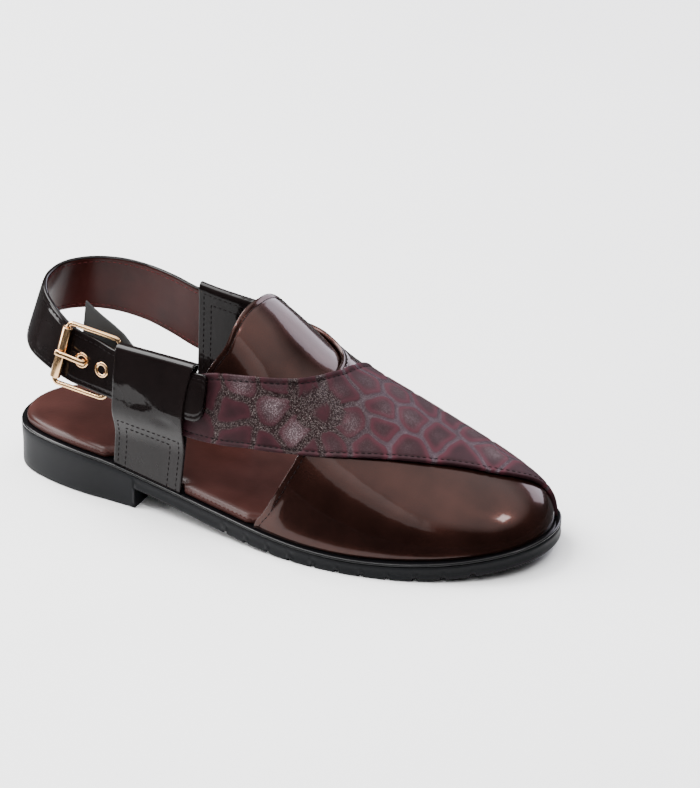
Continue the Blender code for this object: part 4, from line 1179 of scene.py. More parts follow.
def over_band_plan():
    """Shares along and around for the printed band's grid."""
    rows, columns = OVER_BAND_POINTS
    free = through(unfold(OVER_FREE_EDGE), rows)
    throat = through(unfold(OVER_THROAT_EDGE), rows)
    start = np.linspace(free[0], throat[0], columns)
    end = feather(OVER_FREE_EDGE[-1][0], OVER_THROAT_EDGE[-1][0], True, True, columns)
    return fold(patch(free, throat, start, end))


def hem(distance, width, height):
    """Turned edge: leather stands up a little over the hem's width and is
    drawn down along its stitches."""
    edge = height * smooth_step(width * 0.9 - distance, 0, width * 0.6)
    draw = -0.8 * height * np.exp(-((distance - width) / (0.28 * width)) ** 2)
    return edge + draw


def build_under_band():
    """Patent band: the foot's surface raised by the leather's thickness,
    with a turned and stitched edge round the throat."""
    along, around = under_band_plan()
    base = foot(along, around, UNDER_BAND)
    across = lengths(base)[1]
    seam = sizes().seam
    relief = hem(across, seam, HEM_HEIGHT) + hem(across[:, -1:] - across, seam, LOW_HEM_HEIGHT)
    outside = foot(along, around, UNDER_BAND + relief)
    inside = foot(along, around)
    band = add_sheet("patent_band", inside, outside, [brown_patent(), brown_patent(), lining()])
    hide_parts("upper")
    stitches = [stitch_run(*line_across(outside, seam, side)) for side in (False, True)]
    add_stitches("patent_band_stitches", stitches, thread())


# Centres of the print's cells on the printed band: share along the band
# from the outer loop, share across from the free edge, half width of the
# channel round the cell in mm, and painted sheen of its middle
PRINT_CELLS = np.array([
    (0.02, 0.55, 0.7, 0.0), (0.03, 0.15, 0.7, 0.0), (0.04, 0.90, 0.7, 0.0),
    (0.12, 0.22, 0.9, 0.0), (0.14, 0.68, 0.9, 0.0), (0.215, 0.82, 0.9, 0.55),
    (0.230, 0.10, 1.4, 0.0), (0.200, 0.47, 1.9, 0.0), (0.282, 0.58, 1.4, 1.0),
    (0.345, 0.27, 1.5, 1.0), (0.300, 0.93, 1.0, 0.1), (0.300, 0.02, 1.1, 0.0),
    (0.365, 0.84, 4.2, 0.0), (0.385, 0.57, 6.5, 0.0), (0.405, 0.05, 2.0, 0.0),
    (0.445, 0.77, 1.0, 0.15), (0.463, 0.37, 1.0, 0.40), (0.450, 0.10, 0.9, 0.1),
    (0.525, 0.11, 0.9, 0.1), (0.530, 0.80, 0.9, 0.2), (0.540, 0.50, 0.9, 0.25),
    (0.545, 0.30, 0.8, 0.1), (0.605, 0.40, 0.9, 0.35), (0.615, 0.12, 0.8, 0.1),
    (0.590, 0.66, 0.9, 0.2), (0.600, 0.92, 0.8, 0.1), (0.675, 0.22, 0.8, 0.1),
    (0.660, 0.56, 0.9, 0.1), (0.665, 0.80, 0.9, 0.0), (0.720, 0.42, 0.9, 0.1),
    (0.735, 0.10, 0.8, 0.0), (0.745, 0.68, 0.9, 0.0), (0.740, 0.92, 0.9, 0.0),
    (0.765, 0.30, 0.8, 0.2), (0.805, 0.14, 0.8, 0.5), (0.810, 0.50, 0.9, 0.1),
    (0.820, 0.78, 0.9, 0.0), (0.855, 0.24, 0.8, 0.2), (0.880, 0.06, 0.7, 0.0),
    (0.890, 0.62, 0.9, 0.0), (0.880, 0.90, 0.9, 0.0), (0.900, 0.38, 0.8, 0.0),
    (0.955, 0.20, 0.8, 0.0), (0.960, 0.50, 0.9, 0.0), (0.960, 0.78, 0.9, 0.0),
    (0.995, 0.05, 0.8, 0.0), (0.995, 0.36, 0.8, 0.0), (0.995, 0.65, 0.9, 0.0),
    (0.995, 0.95, 0.9, 0.0),
])


def print_marks(grid):
    """Cells of the print: a point's nearest centre gives its cell, and its
    distance from the planes midway to the next centres, joined by a soft
    least value, gives the channels and the cells' rounded corners."""
    rows, columns = grid.shape[:2]
    i = np.clip((PRINT_CELLS[:, 0] * (rows - 1)).astype(int), 0, rows - 1)
    j = np.clip((PRINT_CELLS[:, 1] * (columns - 1)).astype(int), 0, columns - 1)
    centres = grid[i, j]
    waves = np.stack([np.sin(grid[..., (k + 1) % 3] * 310 + k) + np.sin(grid[..., (k + 2) % 3] * 530 + 2 * k)
                      for k in range(3)], axis=-1)
    spots = grid + PRINT_WAVES * waves
    gap = np.linalg.norm(spots[:, :, None] - centres[None, None], axis=-1)
    order = np.argsort(gap, axis=-1)[..., :6]
    near = np.take_along_axis(gap, order, axis=-1)
    own = order[..., :1]
    between = np.linalg.norm(centres[order[..., 1:]] - centres[own], axis=-1)
    sides = (near[..., 1:] ** 2 - near[..., :1] ** 2) / 2 / between
    channel = (PRINT_CELLS[own[..., 0], 2] + PRINT_CELLS[order[..., 1], 2]) / 2 * MM
    border_distance = -CORNER_ROUND * np.log(np.exp(-sides / CORNER_ROUND).sum(axis=-1))
    cell = smooth_step(border_distance, channel * 0.5, channel + PRINT_EASE)
    halo = np.exp(-((border_distance - channel - HALO_IN) / HALO_WIDTH) ** 2)
    # Painted sheen: pale grey over some cells' middles, fading out from the centre
    sheen = PRINT_CELLS[own[..., 0], 3] * np.exp(-(near[..., 0] / SHEEN_REACH) ** 2) * cell
    share = np.linspace(0, 1, rows)[:, None] + np.zeros((1, columns))
    plain = smooth_step(share, 0.40, 0.58)
    return {"cell": cell, "halo": halo * (0.35 + 0.65 * plain), "sheen": sheen, "plain": plain}


def build_over_band():
    """Printed band: its free edge stands off the patent band, and the cells
    of the print are raised from the bands of scales between them."""
    along, around = over_band_plan()
    inside_offset = UNDER_BAND - OVER_BAND_SINK
    share = np.linspace(0, 1, len(along))[:, None]
    base = foot(along, around, inside_offset + OVER_BAND)
    across = lengths(base)[1]
    standing = np.clip((share - 0.18) / 0.15, 0, 1) * np.clip((1 - share) / 0.1, 0, 1)
    near_edge = np.exp(-(across / EDGE_LIFT_REACH) ** 2)
    lift = EDGE_LIFT * near_edge * standing
    marks = print_marks(base)
    seam = sizes().seam
    relief = hem(across, seam, PRINT_HEM_HEIGHT) + hem(across[:, -1:] - across, seam, PRINT_HEM_HEIGHT)
    relief = relief + sizes().cell_height * (marks["cell"] - 0.5)
    outside = foot(along, around, inside_offset + OVER_BAND + lift * 0.6 + relief)
    inside = foot(along, around, inside_offset + lift * 0.8)
    printed = shared("printed leather", printed_material, finish())
    band = add_sheet("printed_band", inside, outside, [printed, printed, lining()], marks=marks)
    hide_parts("upper")
    stitches = [stitch_run(*line_across(outside, seam, side)) for side in (False, True)]
    add_stitches("printed_band_stitches", stitches, thread())


def build_tongue():
    """Tongue: the foot's surface lowered under the bands, its rear edge
    turned and stitched."""
    rows, columns = TONGUE_POINTS
    rear = through(unfold(TONGUE_REAR_EDGE), rows)
    root = through(unfold(TONGUE_ROOT), rows)
    start = np.linspace(rear[0], root[0], columns)
    end = np.linspace(rear[-1], root[-1], columns)
    along, around = fold(patch(rear, root, start, end))
    top = -CLEARANCE - FACET_ROOM
    base = foot(along, around, top)
    across = lengths(base)[1]
    relief = hem(across, sizes().seam, TONGUE_HEM_HEIGHT)
    outside = foot(along, around, top + relief)
    inside = foot(along, around, top - TONGUE_WALL)
    leaf = add_sheet("patent_tongue", inside, outside, [brown_patent(), brown_patent(), lining()])
    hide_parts("tongue")
    add_stitches("tongue_stitches", [stitch_run(*line_across(outside, sizes().seam))], thread())


# Side loops and heel strap

def over_band_face():
    """Outer face of the printed band, from the foot's surface."""
    return UNDER_BAND - OVER_BAND_SINK + OVER_BAND


def outer_loop_layers():
    """Faces of the outer loop's leaves, from the foot's surface."""
    room = CLEARANCE + FACET_ROOM
    hollow = UNDER_BAND - OVER_BAND_SINK - room
    cover = over_band_face() + room + STRAP + room
    return hollow - LEAF, hollow, cover, cover + LEAF


def inner_loop_layers():
    """Faces of the inner loop's leaves, from the foot's surface."""
    room = CLEARANCE + FACET_ROOM
    cover = max(STRAP, UNDER_BAND) + 1.4 * room
    return -room - LEAF, -room, cover, cover + LEAF


def loop_section(base, top, join, layers):
    """Folded leaf in the plane of height and offset: up the outer face,
    round the fold on half an ellipse, and down the inner face."""
    inside, _, _, outside = layers
    joined = inside + 2 * LEAF
    middle = (inside + outside) / 2
    rise = np.linspace(base, top - FOLD_ROUND, LEAF_POINTS)
    push = joined + (outside - joined) * smooth_step(rise, join - 2 * JOIN_EASE, join + 3.3 * JOIN_EASE)
    angle = np.linspace(0, np.pi, FOLD_POINTS)[1:-1]
    fold_height = top - FOLD_ROUND + FOLD_ROUND * np.sin(angle)
    fold_offset = middle + (outside - middle) * np.cos(angle)
    fall = rise[::-1]
    height = np.r_[rise, fold_height, fall]
    offset = np.r_[push, fold_offset, np.full(LEAF_POINTS, inside)]
    reach = reach_along(np.column_stack([height, offset]))
    even = np.linspace(0, reach[-1], LOOP_ROWS)
    height = np.interp(even, reach, height)
    offset = np.interp(even, reach, offset)
    ahead = unit(np.column_stack([np.gradient(height), np.gradient(offset)]))
    return height, offset, height + ahead[:, 1] * LEAF, offset - ahead[:, 0] * LEAF


def loop_grids(inner, edges, tops, join, layers):
    """Outer and tunnel faces of a folded loop, along the fold's section and
    across from rear to front."""
    outside = np.empty((LOOP_ROWS, LOOP_COLUMNS, 3))
    inside = np.empty((LOOP_ROWS, LOOP_COLUMNS, 3))
    for column, share in enumerate(np.linspace(0, 1, LOOP_COLUMNS)):
        x = (edges[1, 1] * (1 - share) + edges[1, 2] * share) * LENGTH
        base = rim_height(x / LENGTH) + CLEARANCE
        top = (tops[0] + (tops[1] - tops[0]) * share) * STRAP_TOP
        height, offset, low_height, low_offset = loop_section(base, top, join * STRAP_TOP, layers)
        for target, z, push in ((outside, height, offset), (inside, low_height, low_offset)):
            z = np.maximum(z, base)
            level = np.clip(z / STRAP_TOP, 0, edges[-1, 0])
            rear = curve(edges, level, 1)
            front = curve(edges, level, 2)
            target[:, column] = flank(x, z, inner, push)
            target[:, column, 0] = (rear + (front - rear) * share) * LENGTH
    return inside, outside


def dimple(grid, spot, depth, reach):
    """Grid with a soft dent round a place in the plane of length and
    height; only faces that look away from the foot are pressed in."""
    normal = unit(np.cross(np.gradient(grid, axis=1), np.gradient(grid, axis=0)))
    far = ((grid[..., 0] - spot[0]) / reach[0]) ** 2 + ((grid[..., 2] - spot[1]) / reach[1]) ** 2
    peak = np.argmax(grid[..., 2], axis=0)
    before = np.arange(grid.shape[0])[:, None] < peak[None]
    middle = grid.mean(axis=(0, 1))
    sign = np.sign(np.sum(normal * (grid - middle), axis=-1))
    return grid - normal * (sign * before * depth * np.exp(-far))[..., None]


def stitched_frame(outside, join, shares):
    """Closed stitch line on a loop's joined part: a rectangle given as
    shares up to the join and across, read from the grid."""
    heights = outside[:, LOOP_COLUMNS // 2, 2]
    peak = int(np.argmax(heights))
    low, high, rear, front = shares
    base = heights[0]
    levels = base + (join * STRAP_TOP - base) * np.array([low, high])
    row_low, row_high = np.interp(levels, heights[:peak], np.arange(peak))
    return along_corners(outside, [(row_low, rear), (row_high, rear), (row_high, front), (row_low, front),
                                   (row_low, rear)])


def inside_frame(outside, drop, rear, front):
    """Stitch line on the side that faces the foot: down from the fold by a
    drop, and in from both edges by shares of the width."""
    peak = int(np.argmax(outside[:, LOOP_COLUMNS // 2, 2]))
    heights = outside[peak:, LOOP_COLUMNS // 2, 2]
    row_top = peak + float(np.interp(-(heights[0] - drop), -heights, np.arange(len(heights))))
    last = LOOP_ROWS - 1.0
    return along_corners(outside, [(last, rear), (row_top, rear), (row_top, front), (last, front)])


def along_corners(grid, corners):
    """Points and normals of a loop's grid on straight lines from corner to
    corner, each given as a row and a share across."""
    sides = list(zip(corners[:-1], corners[1:]))
    rows_at = np.concatenate([np.linspace(a[0], b[0], FRAME_POINTS) for a, b in sides])
    cols_at = np.concatenate([np.linspace(a[1], b[1], FRAME_POINTS) for a, b in sides]) * (LOOP_COLUMNS - 1)
    normal = unit(np.cross(np.gradient(grid, axis=1), np.gradient(grid, axis=0)))
    i = np.clip(rows_at.astype(int), 0, grid.shape[0] - 2)
    j = np.clip(cols_at.astype(int), 0, grid.shape[1] - 2)
    a = (rows_at - i)[:, None]
    b = (cols_at - j)[:, None]
    found = []
    for source in (grid, normal):
        low = source[i, j] * (1 - a) + source[i + 1, j] * a
        high = source[i, j + 1] * (1 - a) + source[i + 1, j + 1] * a
        found.append(low * (1 - b) + high * b)
    return found[0], unit(found[1])


def build_loop(name, node_name, inner, edges, tops, join, layers):
    """A side loop with its two stitched frames."""
    inside, outside = loop_grids(inner, edges, tops, join, layers)
    if not inner:
        for spot, depth, reach in OUTER_LOOP_DENTS:
            outside = dimple(outside, (spot[0] * LENGTH, spot[1] * STRAP_TOP), depth, reach)
    # The inner loop takes the shaded copy of the black patent: painted shade
    loop = add_sheet(name, inside, outside, [shaded_patent() if inner else black_patent()], swell=0.3)
    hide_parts(node_name)
    runs = []
    for shape in JOIN_FRAMES:
        path, normal = stitched_frame(outside, join, shape)
        if inner:
            normal = -normal
        runs.append(stitch_run(path, normal))
    if inner:
        for drop, rear, front in FOLD_FRAMES:
            path, normal = inside_frame(outside, drop, rear, front)
            runs.append(stitch_run(path, -normal))
    add_stitches(name + "_stitches", runs, thread())


def strap_table():
    """Inside face of the heel strap as three lines: lower edge, middle and
    upper edge."""
    rows = []
    for share, low, high in STRAP_IN_OUTER_LOOP:
        heights = np.array([low, (low + high) / 2, high]) * STRAP_TOP
        rows.append(flank(share * LENGTH, heights, False, over_band_face() + CLEARANCE + FACET_ROOM))
    for row in STRAP_RUN:
        lower = np.array([row[0] * LENGTH, row[1] * BALL_WIDTH, row[2] * STRAP_TOP])
        upper = np.array([row[3] * LENGTH, row[4] * BALL_WIDTH, row[5] * STRAP_TOP])
        rows.append(np.array([lower, (lower + upper) / 2, upper]))
    for share, low, high in STRAP_IN_INNER_LOOP:
        heights = np.array([low, (low + high) / 2, high]) * STRAP_TOP
        rows.append(flank(share * LENGTH, heights, True, 0.0))
    rows = np.array(rows)
    reach = reach_along(rows[:, 1])
    return np.column_stack([reach, rows.reshape(len(rows), 9)])


def strap_lines(span):
    """The strap's three lines at distances from its free tip."""
    table = strap_table()
    lines = np.column_stack([curve(table, span, 1 + k) for k in range(9)])
    return lines.reshape(len(span), 3, 3)


def strap_frames(span):
    """Middle, direction along, direction up and outward normal."""
    span = np.asarray(span, float)
    step = 0.5 * MM
    lines = strap_lines(span)
    along = unit(strap_lines(span + step)[:, 1] - strap_lines(span - step)[:, 1])
    up = unit(lines[:, 2] - lines[:, 0])
    return lines[:, 1], along, up, unit(np.cross(up, along))


def strap_length():
    """Length of the strap along its middle."""
    return strap_table()[-1, 0]


def span_at(x):
    """Distance from the free tip to a place on the outer side."""
    spans = np.linspace(0, strap_length() * 0.35, 120)
    return float(np.interp(-x, -strap_lines(spans)[:, 1, 0], spans))


def strap_grids():
    """Inside and outside faces of the strap, its free end rounded."""
    tip = TIP_ROUND * np.linspace(0, 1, TIP_ROWS) ** 1.5
    spans = np.r_[tip, np.linspace(tip[-1], strap_length(), STRAP_ROWS)[1:]]
    share = np.clip(spans / TIP_ROUND, 0, 1)[:, None]
    low_corner = 0.30 * (1 - np.sqrt(1 - (1 - share) ** 2))
    high_corner = 0.10 * (1 - np.sqrt(1 - (1 - np.clip(share * 2.4, 0, 1)) ** 2))
    lines = strap_lines(spans)
    level = np.linspace(0, 1, STRAP_COLUMNS)[None]
    where = low_corner + (1 - low_corner - high_corner) * level
    low = (2 * where - 1) * (where - 1)
    high = (2 * where - 1) * where
    weights = np.stack([low, 1 - low - high, high], axis=-1)
    inside = np.einsum("ijk,ikc->ijc", weights, lines)
    out = unit(np.cross(np.gradient(inside, axis=1), np.gradient(inside, axis=0)))
    return inside, inside + out * STRAP, out


def build_strap():
    """Heel strap: black patent over a lining, a lacquered edge, stitches
    along both edges on both faces, and two punched holes."""
    inside, outside, out = strap_grids()
    across = lengths(outside)[1]
    edge = np.minimum(across, across[:, -1:] - across)
    relief = STRAP_CROWN * smooth_step(edge, 0, 2.5 * MM)
    relief = relief - STRAP_DRAW * np.exp(-((edge - STRAP_SEAM) / (0.7 * MM)) ** 2)
    face = outside + out * relief[..., None]
    strap = add_sheet("patent_strap", inside, face, [black_patent(), black_patent(), lining()])
    punch(strap, eyelet_spots()[1])
    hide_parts("heel_strap")
    runs = []
    lining_runs = []
    for side in (False, True):
        path, normal = line_across(face, STRAP_SEAM, side)
        runs.append(stitch_run(path, -normal))
        path, normal = line_across(inside, STRAP_SEAM, side)
        lining_runs.append(stitch_run(path, normal))
    add_stitches("strap_stitches", runs, thread())
    red = shared("lining thread", thread_material, LINING_THREAD)
    add_stitches("strap_lining_stitches", lining_runs, red)


def punch(thing, spots):
    """Cuts round holes for the eyelets through the strap."""
    for spot in spots:
        point, _, _, normal = strap_frames([spot])
        profile = [(1e-5, -STRAP), (HOLE_RADIUS, -STRAP), (HOLE_RADIUS, 2 * STRAP), (1e-5, 2 * STRAP)]
        rings = turned_rings(point[0], normal[0], profile)
        mesh = bpy.data.meshes.new("punch")
        faces = cells(len(rings), rings.shape[1], wrap=True)
        first = list(range(TURNED_SIDES))
        ends = [first[::-1], [number + 3 * TURNED_SIDES for number in first]]
        mesh.from_pydata((rings.reshape(-1, 3) + MOVE).tolist(), [], faces.tolist() + ends)
        cutter = bpy.data.objects.new("punch", mesh)
        bpy.context.scene.collection.objects.link(cutter)
        modifier = thing.modifiers.new("punch", "BOOLEAN")
        modifier.operation = "DIFFERENCE"
        modifier.solver = "EXACT"
        modifier.object = cutter
        graph = bpy.context.evaluated_depsgraph_get()
        cut = bpy.data.meshes.new_from_object(thing.evaluated_get(graph))
        thing.modifiers.clear()
        thing.data = cut
        bpy.data.objects.remove(cutter, do_unlink=True)


def eyelet_spots():
    """Places of the roller and of the two holes, from the strap's tip."""
    roller = span_at(OUTER_LOOP[2, 1] * LENGTH - ROLLER_TO_LOOP)
    return roller, [roller - FIRST_HOLE, roller - FIRST_HOLE - HOLE_PITCH]


def build_guard():
    """Woven flap behind the buckle, between rows of the foot's side wall."""
    rows = np.array(GUARD_ROWS)
    share = np.linspace(0, 1, len(rows))
    fine = np.linspace(0, 1, GUARD_POINTS[0])
    table = np.column_stack([np.interp(fine, share, rows[:, k]) for k in range(5)])
    level = np.linspace(0, 1, GUARD_POINTS[1])
    x = (table[:, 0][:, None] * (1 - level) + table[:, 2][:, None] * level) * LENGTH
    z = (table[:, 1][:, None] * (1 - level) + table[:, 3][:, None] * level) * STRAP_TOP
    face = outer_loop_layers()[0] - table[:, 4][:, None] * GUARD_ROOM + 0 * level
    outside = flank(x, z, False, face)
    inside = flank(x, z, False, face - GUARD)
    webbing = shared("webbing", webbing_material, WEBBING)
    flap = add_sheet("woven_guard", inside, outside, [webbing], swell=0.2)
    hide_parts("buckle_guard")


# Buckle

def buckle_places(roller_spot):
    """Roller's and hinge bar's centres with the buckle's own directions."""
    ends, _, ups, outs = strap_frames([roller_spot, roller_spot - BUCKLE_SPAN])
    roller = ends[0] + outs[0] * (STRAP + CLEARANCE + 2 * FACET_ROOM + ROLLER_RADIUS)
    hinge = ends[1] - outs[1] * BAR_DEPTH
    up = ups.mean(axis=0)
    forward = hinge - roller
    up = unit(up - forward * np.dot(up, forward) / np.dot(forward, forward))
    forward = unit(forward)
    return roller, hinge, forward, up, np.cross(up, -forward)


def turned_rings(point, axis, profile):
    """A profile of radius and height turned round an axis."""
    axis = Vector(axis).normalized()
    side = axis.orthogonal().normalized()
    other = axis.cross(side)
    angle = np.arange(TURNED_SIDES) * 2 * np.pi / TURNED_SIDES
    ring = np.cos(angle)[:, None] * np.array(side) + np.sin(angle)[:, None] * np.array(other)
    return np.array([point + ring * radius + np.array(axis) * height for radius, height in profile])


def resample(path, step):
    """Smooth path through points at an even step."""
    path = np.asarray(path, float)
    reach = reach_along(path)
    table = np.column_stack([reach, path])
    spots = np.linspace(0, reach[-1], max(int(reach[-1] / step), 8))
    return np.column_stack([curve(table, spots, 1 + k) for k in range(3)])


def gilt():
    """Plated metal."""
    return shared("gilt", gilt_material, tuple(finish().gilt))


def build_buckle():
    """Frame wire, roller with rounded lips, and prong."""
    roller_spot, holes = eyelet_spots()
    roller, hinge, forward, up, out = buckle_places(roller_spot)
    half = BUCKLE_HEIGHT / 2
    span = np.linalg.norm(hinge - roller)
    corners = [(0.0, -half, REAR_CORNER, 1.5), (0.0, half, REAR_CORNER, 1.0),
               (span, half, FRONT_CORNER, 0.5), (span, -half, FRONT_CORNER, 0.0)]
    path = []
    for x, y, radius, first in corners:
        middle_x = x - np.sign(x - span / 2) * radius
        middle_y = y - np.sign(y) * radius
        for angle in np.linspace(first, first - 0.5, 14) * np.pi:
            path.append(roller + forward * (middle_x + radius * np.cos(angle))
                        + up * (middle_y + radius * np.sin(angle)))
    wire = add_rings("gilt_frame", tube_rings(path, WIRE * WIRE_ROUND, 24, closed=True), [gilt()])
    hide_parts("buckle_frame")
    long = half - REAR_CORNER - CLEARANCE
    bore = WIRE + CLEARANCE
    lip = ROLLER_LIP
    flat = ROLLER_RADIUS - lip
    rounds = [(flat + lip * np.sin(a), lip - lip * np.cos(a)) for a in (0.5, 1.0, np.pi / 2)]
    profile = [(bore, -long), (flat, -long)] + [(radius, -long + rise) for radius, rise in rounds]
    profile += [(radius, long - rise) for radius, rise in reversed(rounds)] + [(flat, long), (bore, long)]
    sleeve = add_rings("gilt_roller", turned_rings(roller, up, profile), [gilt()])
    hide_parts("buckle_roller")
    hole, along, _, normal = strap_frames([holes[0]])
    hole, normal, back = hole[0], normal[0], -along[0]
    outside = STRAP + CLEARANCE + EYELET_SHEET
    reach = WIRE + CLEARANCE + PRONG_RADIUS
    hook = [hinge + reach * (forward * np.cos(a) + out * np.sin(a))
            for a in np.linspace(-0.3 * np.pi, -0.5 * np.pi, 3)]
    low = hole - normal * (PRONG_RADIUS + 0.5 * MM)
    path = hook + [hinge - out * reach - forward * 4 * MM, low - back * 2.2 * MM,
                   low - back * 0.9 * MM + normal * 0.3 * MM,
                   hole + normal * (STRAP / 2),
                   hole + back * 0.9 * MM + normal * (outside + 0.4 * MM),
                   hole + back * 2.6 * MM + normal * (outside + PRONG_RADIUS + 0.6 * MM)]
    rest = roller + out * (ROLLER_RADIUS + CLEARANCE + PRONG_RADIUS)
    path += [rest + forward * 2.2 * MM, rest, rest - forward * 2.4 * MM - out * 0.8 * MM]
    rings = tube_rings(resample(path, 0.5 * MM), PRONG_RADIUS, 20, squash=PRONG_FLAT)
    pin = add_rings("gilt_prong", rings, [gilt()], capped=True)
    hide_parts("buckle_prong")


def build_eyelets(spots):
    """Flanged rings with a rolled lip."""
    for number, spot in enumerate(spots):
        point, _, _, normal = strap_frames([spot])
        lift = STRAP + CLEARANCE
        outer = HOLE_RADIUS - CLEARANCE
        crown = (EYELET_BORE + EYELET_FLANGE) / 2
        half = (EYELET_FLANGE - EYELET_BORE) / 2
        profile = [(EYELET_BORE, 0.0), (outer, 0.0), (outer, lift), (EYELET_FLANGE, lift)]
        profile += [(crown + half * np.cos(a), lift + 0.1 * MM + EYELET_SHEET * np.sin(a))
                    for a in np.linspace(0.1, np.pi - 0.1, 9)]
        rings = turned_rings(point[0], normal[0], profile)
        ring = add_rings(f"gilt_eyelet_{number + 1}", rings, [gilt()])
        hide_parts(f"eyelet_{number + 1}")


# Operators

class BuildSole(bpy.types.Operator):
    """Rubber sole, glossy rim and padded footbed"""
    bl_idname = "chappal.sole"
    bl_label = "Sole"

    def execute(self, context):
        build_outsole()
        build_rim()
        build_insole()
        return {"FINISHED"}


class BuildBands(bpy.types.Operator):
    """Patent band, printed band and tongue with their stitches"""
    bl_idname = "chappal.bands"
    bl_label = "Bands and tongue"

    def execute(self, context):
        build_under_band()
        build_over_band()
        build_tongue()
        return {"FINISHED"}


class BuildLoops(bpy.types.Operator):
    """Folded side loops with their stitched frames"""
    bl_idname = "chappal.loops"
    bl_label = "Side loops"

    def execute(self, context):
        build_loop("outer_patent_loop", "outer_loop", False, OUTER_LOOP, OUTER_LOOP_TOP, OUTER_LOOP_JOIN,
                   outer_loop_layers())
        build_loop("inner_patent_loop", "inner_loop", True, INNER_LOOP, INNER_LOOP_TOP, INNER_LOOP_JOIN,
                   inner_loop_layers())
        return {"FINISHED"}


class BuildStrap(bpy.types.Operator):
    """Heel strap and the woven flap behind the buckle"""
    bl_idname = "chappal.strap"
    bl_label = "Heel strap"

    def execute(self, context):
        build_strap()
        build_guard()
        return {"FINISHED"}


class BuildBuckle(bpy.types.Operator):
    """Buckle and eyelets"""
    bl_idname = "chappal.buckle"
    bl_label = "Buckle"

    def execute(self, context):
        build_buckle()
        build_eyelets(eyelet_spots()[1])
        return {"FINISHED"}


class BuildStage(bpy.types.Operator):
    """Floor, lights and camera"""
    bl_idname = "chappal.stage"
    bl_label = "Stage"

    def execute(self, context):
        build_stage()
        return {"FINISHED"}


# Soft boxes: name, azimuth and elevation in degrees, distance, target, size,
# power and colour
SHOE_MIDDLE = (0.0, 0.0, 0.04)
WHITE = (1.0, 1.0, 1.0)
SOFT_BOXES = (
    ("heel box", 178, 52, 1.7, SHOE_MIDDLE, (1.4, 1.1), 85, WHITE),
    ("front box", -82, 40, 1.7, SHOE_MIDDLE, (0.85, 0.55), 3.4, WHITE),
    ("crown strip", -106, 62, 1.6, SHOE_MIDDLE, (0.60, 0.10), 9, WHITE),
    ("strap box", -156, 12, 1.0, SHOE_MIDDLE, (0.34, 0.36), 6, WHITE),
    ("rear box", 74, 25, 1.7, SHOE_MIDDLE, (1.2, 0.62), 17, (0.88, 0.86, 1.0)),
    ("toe box", -2.8, 57.7, 0.3, (0.12, -0.01, 0.035), (0.058, 0.043), 0.27, WHITE),
)

# Camera, worked out from the sole's outline in the photo
CAMERA_SPOT = (0.6287, -1.3149, 0.7792)
CAMERA_AIM = (0.0056, 0.0781, 0.030)
CAMERA_LENS = 147.4
CAMERA_SENSOR = 36
CAMERA_NEAR = 0.05
CAMERA_FAR = 50

# Floor, black card and surround: the card's distance from the sole at the
# toe and what the heel adds to it, and the surround's grey by height
FLOOR_HALF = 6.0
FLAG_POINTS = 41
FLAG_OFF = 26 * MM
FLAG_OFF_AT_HEEL = 134 * MM
FLAG_REACH = 3.0
FLAG_HEIGHT = 0.4 * MM
SURROUND = [(0.0, 0.03), (0.62, 0.04), (0.80, 0.85), (1.0, 1.0)]
SURROUND_STRENGTH = 3.0


def soft_box(name, azimuth, elevation, distance, target, size, power, colour):
    """Soft box seen from a point at an azimuth, elevation and distance."""
    turn_by, lift = np.radians([azimuth, elevation])
    ray = np.array([np.cos(turn_by) * np.cos(lift), np.sin(turn_by) * np.cos(lift), np.sin(lift)])
    spot = np.array(target) + ray * distance
    lamp = bpy.data.lights.new(name, "AREA")
    lamp.shape = "RECTANGLE"
    lamp.size, lamp.size_y = size
    lamp.energy = power
    lamp.color = colour
    thing = bpy.data.objects.new(name, lamp)
    thing.location = spot
    thing.rotation_euler = (Vector(target) - Vector(spot)).to_track_quat("-Z", "Y").to_euler()
    bpy.context.scene.collection.objects.link(thing)


def build_flag():
    """Black card laid round the shoe, seen by mirror rays alone: it keeps
    the pale floor out of the patent except close to the sole. It starts
    near the toe and further off towards the heel."""
    along = close_at_ends(FLAG_POINTS)
    stations = np.concatenate([along, along[-2:0:-1]])
    off = FLAG_OFF + FLAG_OFF_AT_HEEL * smooth_step(-stations, -0.55, -0.35)
    near = sole_outline(along, -off) + MOVE[:2]
    far = near / np.linalg.norm(near, axis=1, keepdims=True) * FLAG_REACH
    points = np.concatenate([near, far])
    points = np.column_stack([points, np.full(len(points), FLAG_HEIGHT)])
    faces = cells(2, len(near), wrap=True)
    mesh = bpy.data.meshes.new("flag")
    mesh.from_pydata(points.tolist(), [], faces.tolist())
    mesh.materials.append(material("black card", (0.004, 0.004, 0.004), 0.9)[0])
    flag = bpy.data.objects.new("flag", mesh)
    flag.visible_camera = False
    flag.visible_diffuse = False
    flag.visible_shadow = False
    bpy.context.scene.collection.objects.link(flag)


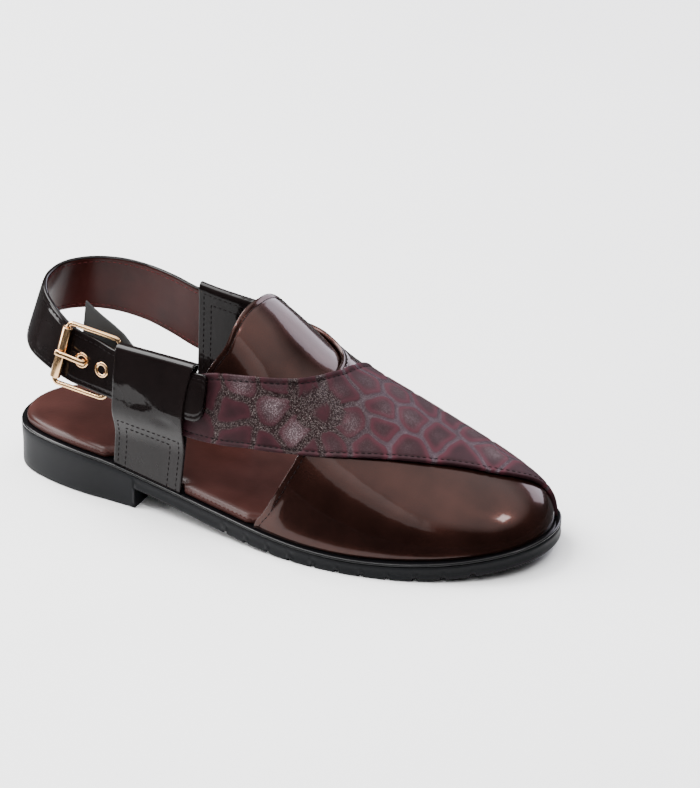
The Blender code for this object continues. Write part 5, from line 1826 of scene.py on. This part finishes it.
def build_stage():
    """Pale floor, soft boxes, a dim surround that is lighter overhead, and
    the camera."""
    build_flag()
    mesh = bpy.data.meshes.new("floor")
    corners = [(x * FLOOR_HALF, y * FLOOR_HALF, 0) for x, y in ((-1, -1), (1, -1), (1, 1), (-1, 1))]
    mesh.from_pydata(corners, [], [(0, 1, 2, 3)])
    pale, tree, shader = material("pale floor", (0.93, 0.93, 0.94), 0.6)
    cloud = noise(tree, place(tree, (1, 1, 1)), 3, 2)
    tree.links.new(ramp(tree, cloud, [(0.3, 0.90), (0.7, 0.94)]), shader.inputs["Base Color"])
    mesh.materials.append(pale)
    floor = bpy.data.objects.new("floor", mesh)
    bpy.context.scene.collection.objects.link(floor)
    world = bpy.data.worlds.new("surround")
    world.use_nodes = True
    tree = world.node_tree
    back = tree.nodes["Background"]
    where = node(tree, "ShaderNodeTexCoord")
    split = node(tree, "ShaderNodeSeparateXYZ")
    tree.links.new(where.outputs["Generated"], split.inputs["Vector"])
    glow = ramp(tree, split.outputs["Z"], SURROUND)
    tree.links.new(glow, back.inputs["Color"])
    back.inputs["Strength"].default_value = SURROUND_STRENGTH
    bpy.context.scene.world = world
    for box in SOFT_BOXES:
        soft_box(*box)
    lens = bpy.data.cameras.new("camera")
    lens.sensor_width = CAMERA_SENSOR
    lens.lens = CAMERA_LENS
    lens.clip_start = CAMERA_NEAR
    lens.clip_end = CAMERA_FAR
    eye = bpy.data.objects.new("camera", lens)
    eye.location = CAMERA_SPOT
    eye.rotation_euler = (Vector(CAMERA_AIM) - Vector(CAMERA_SPOT)).to_track_quat("-Z", "Y").to_euler()
    bpy.context.scene.collection.objects.link(eye)
    bpy.context.scene.camera = eye


class ChappalPanel(bpy.types.Panel):
    """Lists the builders in the sidebar"""
    bl_idname = "VIEW3D_PT_chappal"
    bl_label = "Chappal"
    bl_space_type = "VIEW_3D"
    bl_region_type = "UI"
    bl_category = "Chappal"

    def draw(self, context):
        for group in (context.scene.chappal_sizes, context.scene.chappal_finish):
            for label in group.__annotations__:
                self.layout.prop(group, label)
        for step in STEPS:
            self.layout.operator(step.bl_idname)


STEPS = (BuildSole, BuildBands, BuildLoops, BuildStrap, BuildBuckle, BuildStage)
CLASSES = (ChappalSizes, ChappalFinish) + STEPS + (ChappalPanel,)


def register():
    for kind in CLASSES:
        bpy.utils.register_class(kind)
    bpy.types.Scene.chappal_sizes = PointerProperty(type=ChappalSizes)
    bpy.types.Scene.chappal_finish = PointerProperty(type=ChappalFinish)


def unregister():
    del bpy.types.Scene.chappal_finish
    del bpy.types.Scene.chappal_sizes
    for kind in reversed(CLASSES):
        bpy.utils.unregister_class(kind)


def main():
    """Registers the add-on and runs its builders in order."""
    register()
    for step in STEPS:
        group, label = step.bl_idname.split(".")
        getattr(getattr(bpy.ops, group), label)()


if __name__ == "__main__":
    main()
